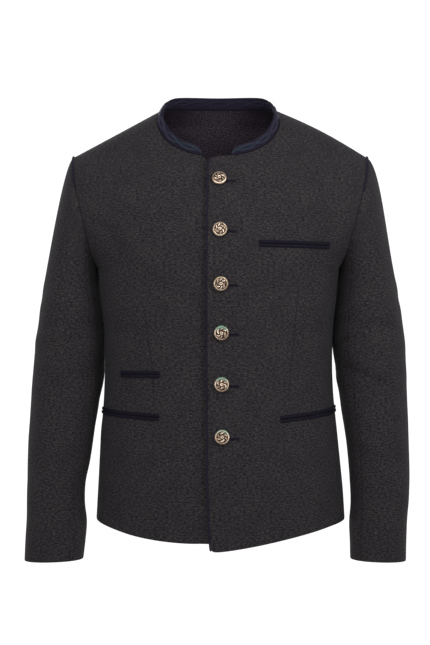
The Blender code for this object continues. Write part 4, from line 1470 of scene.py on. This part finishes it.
class Surface:
    """The outer face of a front, on which trim is laid."""

    def __init__(self, grid, normals):
        self.points = [point for row in grid for point in row]
        self.normals = [normal for row in normals for normal in row]
        wide = len(grid[0])
        self.faces = []
        for j in range(len(grid) - 1):
            for i in range(wide - 1):
                k = j * wide + i
                self.faces.append((k, k + 1, k + 1 + wide))
                self.faces.append((k, k + 1 + wide, k + wide))
        self.tree = BVHTree.FromPolygons(self.points, self.faces)

    def hit(self, origin, direction):
        point, _, face, _ = self.tree.ray_cast(origin, direction)
        if point is None:
            raise ValueError(f"nothing of the front lies beyond {origin}")
        normal = Vector()
        for k in self.faces[face]:
            normal += self.normals[k] / max((point - self.points[k]).length, 1e-6)
        return point, normal.normalized()

    def seen(self, x, z):
        """The place of the front that is seen at x and z."""
        return self.hit(Vector((x, -1.0, z)), Vector((0.0, 1.0, 0.0)))

    def below(self, point, normal):
        return self.hit(point + normal * PROBE, -normal)


def build_edge_piping(half, trim, cloth):
    """Navy edging along the overlapping edge, round its upper corner."""
    aside = Vector((-trim.piping_radius, cloth.wall * 0.5, 0.0))
    path = [row[0] + aside for row in half.front[:half.rows.index(EDGE_ROWS) + 1]]
    made = Cloth()
    add_tube(made, path, trim.piping_radius, 10)
    piece = made.build("piping_front_edge", [found(navy)], False)
    return dressed(piece, "front_edge_piping")


def build_armhole_piping(half, trim):
    """Piping let into the front of the armhole seam, from the shoulder seam down."""
    path, radii = [], []
    end = PIPED_ROWS[half.side] * 180.0 / ARM_ROWS
    for turn, point, normal, out in half.rim:
        if turn > end + 0.1:
            break
        leave = place(SLEEVE_HEAD, turn).normalized()
        bend = math.atan2(leave.dot(normal), leave.dot(out))
        facing = normal * math.cos(bend) - out * math.sin(bend)
        proud = (normal + facing).normalized()
        path.append(point + proud * trim.piping_radius * 0.75)
        full = (0.6 + 0.4 * smooth(0.0, 12.0, turn)) * (1.0 - 0.45 * smooth(0.6 * end, end, turn))
        radii.append(PIPING_ROUND * trim.piping_radius * full)
    if half.side == "right":
        path = [Vector((-p.x, p.y, p.z)) for p in path]
    made = Cloth()
    add_tube(made, path, radii, 10)
    piece = made.build(f"piping_armhole_{half.side}", [found(navy)], False)
    return dressed(piece, f"armhole_piping_{half.side}")


def build_welt(name, half, surface, x, z, length, rise):
    """A pocket welt of two cords, rounded at both ends, that follows the cloth."""
    steps = round(length / WELT_STEP)
    point, normal = surface.seen(x, z)
    cells = []
    for k in range(steps + 1):
        sideways = Vector((0.0, 0.0, 1.0)).cross(normal).normalized()
        along = (sideways + Vector((0.0, 0.0, rise / length))).normalized()
        up = normal.cross(along)
        end = min(k, steps - k) * WELT_STEP
        full = math.sqrt(max(1.0 - (1.0 - min(end / WELT_END, 1.0)) ** 2, 0.0))
        cells.append([])
        for share, height in zip(*WELT_PROFILE.values()):
            wide = share * WELT_WIDTH / 2 * (0.86 + 0.14 * full)
            foot, facing = surface.below(point + up * wide, normal)
            # Painted shade: the mark darkens the groove between the two cords and the welt's outer
            # edges.
            groove_shade = 1.0 - smooth(0.0, 0.14, abs(share))
            cells[-1].append((foot + facing * (0.0002 + height * (0.25 + 0.75 * full)),
                              foot - facing * 0.0003, (k * WELT_STEP, wide),
                              max(groove_shade, 0.9 * (abs(share) > 0.98))))
        if k < steps:
            point, normal = surface.below(point + along * WELT_STEP, normal)
    made = Cloth()
    made.shell(*split(cells), 0)
    piece = made.build(f"welt_{name}", [found(welt_cloth)], half.side == "right")
    return dressed(piece, name)


def build_buttonholes(surface):
    """Six hand-worked buttonholes: two lips of satin stitches and a bar at the outer end."""
    made = Cloth()
    steps = STITCHES * STITCH_STEPS
    for middle, z in BUTTONS:
        cells = []
        for k in range(steps + 1):
            x = middle + HOLE_REACH * (k / steps)
            bar = smooth(*STITCH_BAR, k / steps)
            half = HOLE_HALF * (1.0 + 0.35 * bar)
            ridge = abs(math.sin(math.pi * k / STITCH_STEPS))
            cells.append([])
            for n in range(-6, 7):
                share = n / 6
                away = abs(share)
                lip = math.sqrt(max(1.0 - ((away - 0.55) / 0.45) ** 2, 0.0))
                height = lip if away > 0.55 else mix(lip, 1.0, bar)
                height = STITCH_HEIGHT * max(height, 0.9 * bar * (1.0 - away ** 4))
                height *= 0.72 + 0.28 * ridge
                foot, facing = surface.seen(x, z - HOLE_LOW + share * half)
                # Painted shade: the mark darkens the slit and the gaps between the stitches.
                slit_shade = (1.0 - smooth(0.08, 0.22, away)) * (1.0 - bar)
                cells[-1].append((foot + facing * (0.0001 + height), (x, share * half),
                                  max(slit_shade, 0.45 * (1.0 - ridge))))
        made.grid(*split(cells), 0)
    piece = made.build("buttonholes", [found(thread)], False)
    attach(piece, "root")
    return piece


def button_relief(radius, turn, number, settings):
    """Height of the relief on a button's face, and how far it stands out."""
    mm = radius * 1000.0
    petals = settings.petals
    swirl = turn + 0.16 * (mm - 3.6) + 0.20 * math.sin(2.0 * turn + number)
    if mm < BOSS_EDGE:
        ring = bell((mm - 1.9) / 0.75)
        notch = 0.5 + 0.5 * math.cos(4 * turn + 1.3 * number)
        relief = BOSS_HEIGHT * ring - BOSS_HEIGHT / 2
        return relief * settings.relief, 0.10 + 0.85 * ring * (0.75 + 0.25 * notch)
    if mm < ROSETTE_EDGE:
        lobe = 0.5 + 0.5 * math.cos(petals * swirl)
        uneven = 0.72 + 0.28 * math.sin(1.7 * turn + 2.1 * number)
        window = smooth(BOSS_EDGE, 4.4, mm) * (1.0 - smooth(6.9 + 0.9 * lobe, 8.3 + 0.5 * lobe, mm))
        vein = 1.0 - 0.45 * bell(math.sin(petals * swirl / 2) * mm / 0.8) * bell((mm - 6.2) / 1.5)
        petal = smooth(0.22, 0.70, lobe) * uneven * vein
        relief = PETAL_HEIGHT * petal * window - HOLLOW_DEPTH * (1.0 - window * petal)
        return relief * settings.relief, 0.05 + 0.78 * petal * window
    strand = 0.5 + 0.5 * math.sin(settings.twists * turn + (mm - 10.0) * 1.6)
    window = bell((mm - ROPE_MIDDLE) / 1.05)
    worn = 0.80 + 0.20 * math.sin(turn * 1.3 + 0.9 * number)
    relief = (ROPE_HEIGHT + STRAND_HEIGHT * strand) * window
    return relief * settings.relief, 0.12 + (0.62 + 0.24 * strand) * window * worn


def build_button(number, surface, settings):
    """A domed button with a rosette in relief, a roped rim and its shank."""
    point, normal = surface.seen(*BUTTONS[number - 1])
    side = (Vector((1.0, 0.0, 0.0)) - normal * normal.x).normalized()
    up = normal.cross(side)
    around = settings.segments
    cells = []
    radii = [BUTTON_RADIUS * k / BUTTON_RINGS for k in range(1, BUTTON_RINGS + 1)]
    face = [(radius, read(BUTTON_PROFILE, "height", radius)) for radius in radii]
    for k, (radius, height) in enumerate((*face, *BUTTON_BACK)):
        cells.append([])
        for n in range(around):
            turn = 2 * math.pi * n / around + 0.2 * number
            relief, shade = 0.0, BACK_SHADE
            if k < BUTTON_RINGS:
                relief, shade = button_relief(radius, turn, number, settings)
            across = side * math.cos(turn) + up * math.sin(turn)
            high = smooth(0.1, 0.9, math.sin(turn)) * smooth(0.006, 0.009, radius)
            green = high * (1.0 if number > 3 else 0.12) * (1.0 - 0.3 * shade)
            cells[-1].append((point + across * radius + normal * (height + relief + 0.0001),
                              (radius, turn), shade, green))
    *grids, patina = split(cells)
    made = Cloth()
    corners = made.grid(*grids, 0, closed=True)
    top = made.add(point + normal * (BUTTON_PROFILE["height"][0] + 0.0005), (0.0, 0.0), 1.0)
    foot = made.add(point, (0.0, 0.0), 0.2)
    for n in range(around):
        m = (n + 1) % around
        made.faces.append((corners[0][m], corners[0][n], top))
        made.faces.append((corners[-1][n], corners[-1][m], foot))
        made.slots += [0, 0]
    made.faces = [face[::-1] for face in made.faces]
    piece = made.build(f"button_face_{number}", [found(antique)], False, 80.0)
    layer = piece.data.attributes.new("patina", "FLOAT", "POINT")
    layer.data.foreach_set("value", [green for row in patina for green in row] + [0.0, 0.0])
    return dressed(piece, f"button_{number}")


# Settings

def metres(name, description, default, precision=4):
    return FloatProperty(name=name, description=description, default=default, unit="LENGTH",
                         subtype="DISTANCE", precision=precision)


def factor(name, description, default):
    return FloatProperty(name=name, description=description, default=default, min=0.0, max=2.0,
                         subtype="FACTOR")


def whole(name, description, default, low, high=1000):
    return IntProperty(name=name, description=description, default=default, min=low, max=high)


class JacketCloth(bpy.types.PropertyGroup):
    fineness: whole("Fineness", "Cells of the cloth to each step of its cut", 5, 1, 8)
    wall: metres("Cloth", "Thickness of the wool", 0.0020)
    seam_dip: metres("Seam dip", "How far the cloth dips at a seam", 0.0009)
    creases: factor("Creases", "Strength of the soft creases", 1.0)


class JacketTrim(bpy.types.PropertyGroup):
    cord_radius: metres("Cord", "Radius of the collar's cords", 0.0011)
    braid_period: metres("Lens", "Length of one lens of the braid", 0.036, 3)
    braid_spread: metres("Spread", "Swing of each braid from the collar's middle line", 0.0033)
    braid_step: metres("Step", "Length of one section of a cord", 0.0018)
    piping_radius: metres("Piping", "Radius of the piping", 0.0013)


class JacketButtons(bpy.types.PropertyGroup):
    segments: whole("Segments", "Points round a button", 120, 24)
    petals: whole("Petals", "Petals of the rosette", 6, 3)
    twists: whole("Twists", "Strands round the rim", 28, 6)
    relief: factor("Relief", "Height of the relief", 1.0)


class JacketStage(bpy.types.PropertyGroup):
    focal: FloatProperty(name="Focal length", description="Focal length of the camera",
                         default=111.6, unit="CAMERA")
    distance: metres("Distance", "Camera to the plane through the neck", 3.2, 3)
    camera_x: metres("Camera X", "Sideways place of the camera", -0.0056)
    camera_z: metres("Camera Z", "Height of the camera", -0.337)
    floor_z: metres("Floor", "Height of the floor", -1.45, 3)
    key: FloatProperty(name="Key light", description="Power of the front light", default=7.5,
                       unit="POWER")
    sky: FloatProperty(name="Sky", description="Strength of the white surroundings", default=1.10)


# Operators

class JACKET_OT_body(bpy.types.Operator):
    """Build the fronts, the back and its lining"""
    bl_idname = "jacket.body"
    bl_label = "Body"

    def execute(self, context):
        cloth = context.scene.jacket_cloth
        for side in ("left", "right"):
            half = Half(side, cloth)
            build_panel(half, "front", cloth)
            build_panel(half, "back", cloth)
            build_back_lining(half, cloth)
        return {"FINISHED"}


class JACKET_OT_sleeves(bpy.types.Operator):
    """Build both two-piece sleeves"""
    bl_idname = "jacket.sleeves"
    bl_label = "Sleeves"

    def execute(self, context):
        cloth = context.scene.jacket_cloth
        for side in ("left", "right"):
            half = Half(side, cloth)
            for part in ("upper", "under"):
                build_sleeve(half, part, cloth)
        return {"FINISHED"}


class JACKET_OT_collar(bpy.types.Operator):
    """Build the stand collar and its braid"""
    bl_idname = "jacket.collar"
    bl_label = "Collar"

    def execute(self, context):
        cloth = context.scene.jacket_cloth
        sections = collar_sections(Half("left", cloth), Half("right", cloth))
        build_collar(sections)
        build_braid(sections, context.scene.jacket_trim)
        return {"FINISHED"}


class JACKET_OT_trim(bpy.types.Operator):
    """Build the piping, the pocket welts and the buttonholes"""
    bl_idname = "jacket.trim"
    bl_label = "Trim"

    def execute(self, context):
        cloth = context.scene.jacket_cloth
        trim = context.scene.jacket_trim
        for side in ("left", "right"):
            half = Half(side, cloth)
            surface = Surface(half.front, half.front_normals)
            build_armhole_piping(half, trim)
            for name, where, x, z, length, rise in WELTS:
                if where == side:
                    build_welt(name, half, surface, x, z, length, rise)
            if side == "left":
                build_edge_piping(half, trim, cloth)
                build_buttonholes(surface)
        return {"FINISHED"}


class JACKET_OT_buttons(bpy.types.Operator):
    """Build the six metal buttons"""
    bl_idname = "jacket.buttons"
    bl_label = "Buttons"

    def execute(self, context):
        half = Half("left", context.scene.jacket_cloth)
        surface = Surface(half.front, half.front_normals)
        for number in range(1, len(BUTTONS) + 1):
            build_button(number, surface, context.scene.jacket_buttons)
        return {"FINISHED"}


class JACKET_OT_stage(bpy.types.Operator):
    """Set up the floor, the light and the camera"""
    bl_idname = "jacket.stage"
    bl_label = "Stage"

    def execute(self, context):
        stage = context.scene.jacket_stage
        scene = context.scene
        turns = [2 * math.pi * k / FLOOR_CORNERS for k in range(FLOOR_CORNERS)]
        rim = [(FLOOR_RADIUS * math.cos(turn), FLOOR_RADIUS * math.sin(turn), stage.floor_z)
               for turn in turns]
        data = bpy.data.meshes.new("floor")
        data.from_pydata(rim, [], [tuple(range(FLOOR_CORNERS))])
        data.materials.append(found(floor_paint))
        floor = bpy.data.objects.new("floor", data)
        scene.collection.objects.link(floor)
        world = bpy.data.worlds.new("white_surroundings")
        world.use_nodes = True
        nodes, links = world.node_tree.nodes, world.node_tree.links
        background = nodes["Background"]
        background.inputs["Strength"].default_value = stage.sky
        around_it = nodes.new("ShaderNodeTexCoord")
        height = nodes.new("ShaderNodeSeparateXYZ")
        level = nodes.new("ShaderNodeMapRange")
        level.inputs["From Min"].default_value = -1.0
        shades = nodes.new("ShaderNodeValToRGB")
        for k, (at, bright) in enumerate(SKY):
            stop = shades.color_ramp.elements[k] if k < 2 else shades.color_ramp.elements.new(at)
            stop.position = at
            stop.color = (bright, bright, bright, 1.0)
        links.new(around_it.outputs["Generated"], height.inputs[0])
        links.new(height.outputs["Z"], level.inputs["Value"])
        links.new(level.outputs[0], shades.inputs[0])
        links.new(shades.outputs[0], background.inputs["Color"])
        scene.world = world
        scene.view_settings.view_transform = "Standard"
        for name, spot, size, share in LIGHTS:
            lamp = bpy.data.lights.new(name, "AREA")
            lamp.shape = "SQUARE"
            lamp.size = size
            lamp.energy = stage.key * share
            light = bpy.data.objects.new(name, lamp)
            light.visible_camera = False
            light.location = spot
            light.rotation_mode = "QUATERNION"
            light.rotation_quaternion = (Vector(AIM) - Vector(spot)).to_track_quat("-Z", "Y")
            scene.collection.objects.link(light)
        lens = bpy.data.cameras.new("camera")
        lens.sensor_fit = "VERTICAL"
        lens.sensor_height = 36.0
        lens.lens = stage.focal
        camera = bpy.data.objects.new("camera", lens)
        camera.location = (stage.camera_x, -stage.distance, stage.camera_z)
        camera.rotation_euler = (math.pi / 2, 0.0, 0.0)
        scene.collection.objects.link(camera)
        scene.camera = camera
        return {"FINISHED"}


class JACKET_PT_panel(bpy.types.Panel):
    bl_label = "Trachten Jacket"
    bl_idname = "JACKET_PT_panel"
    bl_space_type = "VIEW_3D"
    bl_region_type = "UI"
    bl_category = "Jacket"

    def draw(self, context):
        for group, kind in GROUPS:
            box = self.layout.box()
            for name in kind.__annotations__:
                box.prop(getattr(context.scene, group), name)
        for operator in OPERATORS:
            self.layout.operator(operator.bl_idname)


GROUPS = (
    ("jacket_cloth", JacketCloth),
    ("jacket_trim", JacketTrim),
    ("jacket_buttons", JacketButtons),
    ("jacket_stage", JacketStage),
)
OPERATORS = (
    JACKET_OT_body,
    JACKET_OT_sleeves,
    JACKET_OT_collar,
    JACKET_OT_trim,
    JACKET_OT_buttons,
    JACKET_OT_stage,
)


def register():
    for name, group in GROUPS:
        bpy.utils.register_class(group)
        setattr(bpy.types.Scene, name, PointerProperty(type=group))
    for operator in OPERATORS:
        bpy.utils.register_class(operator)
    bpy.utils.register_class(JACKET_PT_panel)


def unregister():
    bpy.utils.unregister_class(JACKET_PT_panel)
    for operator in reversed(OPERATORS):
        bpy.utils.unregister_class(operator)
    for name, group in reversed(GROUPS):
        delattr(bpy.types.Scene, name)
        bpy.utils.unregister_class(group)


def main():
    register()
    bpy.ops.jacket.body()
    bpy.ops.jacket.sleeves()
    bpy.ops.jacket.collar()
    bpy.ops.jacket.trim()
    bpy.ops.jacket.buttons()
    bpy.ops.jacket.stage()


if __name__ == "__main__":
    main()
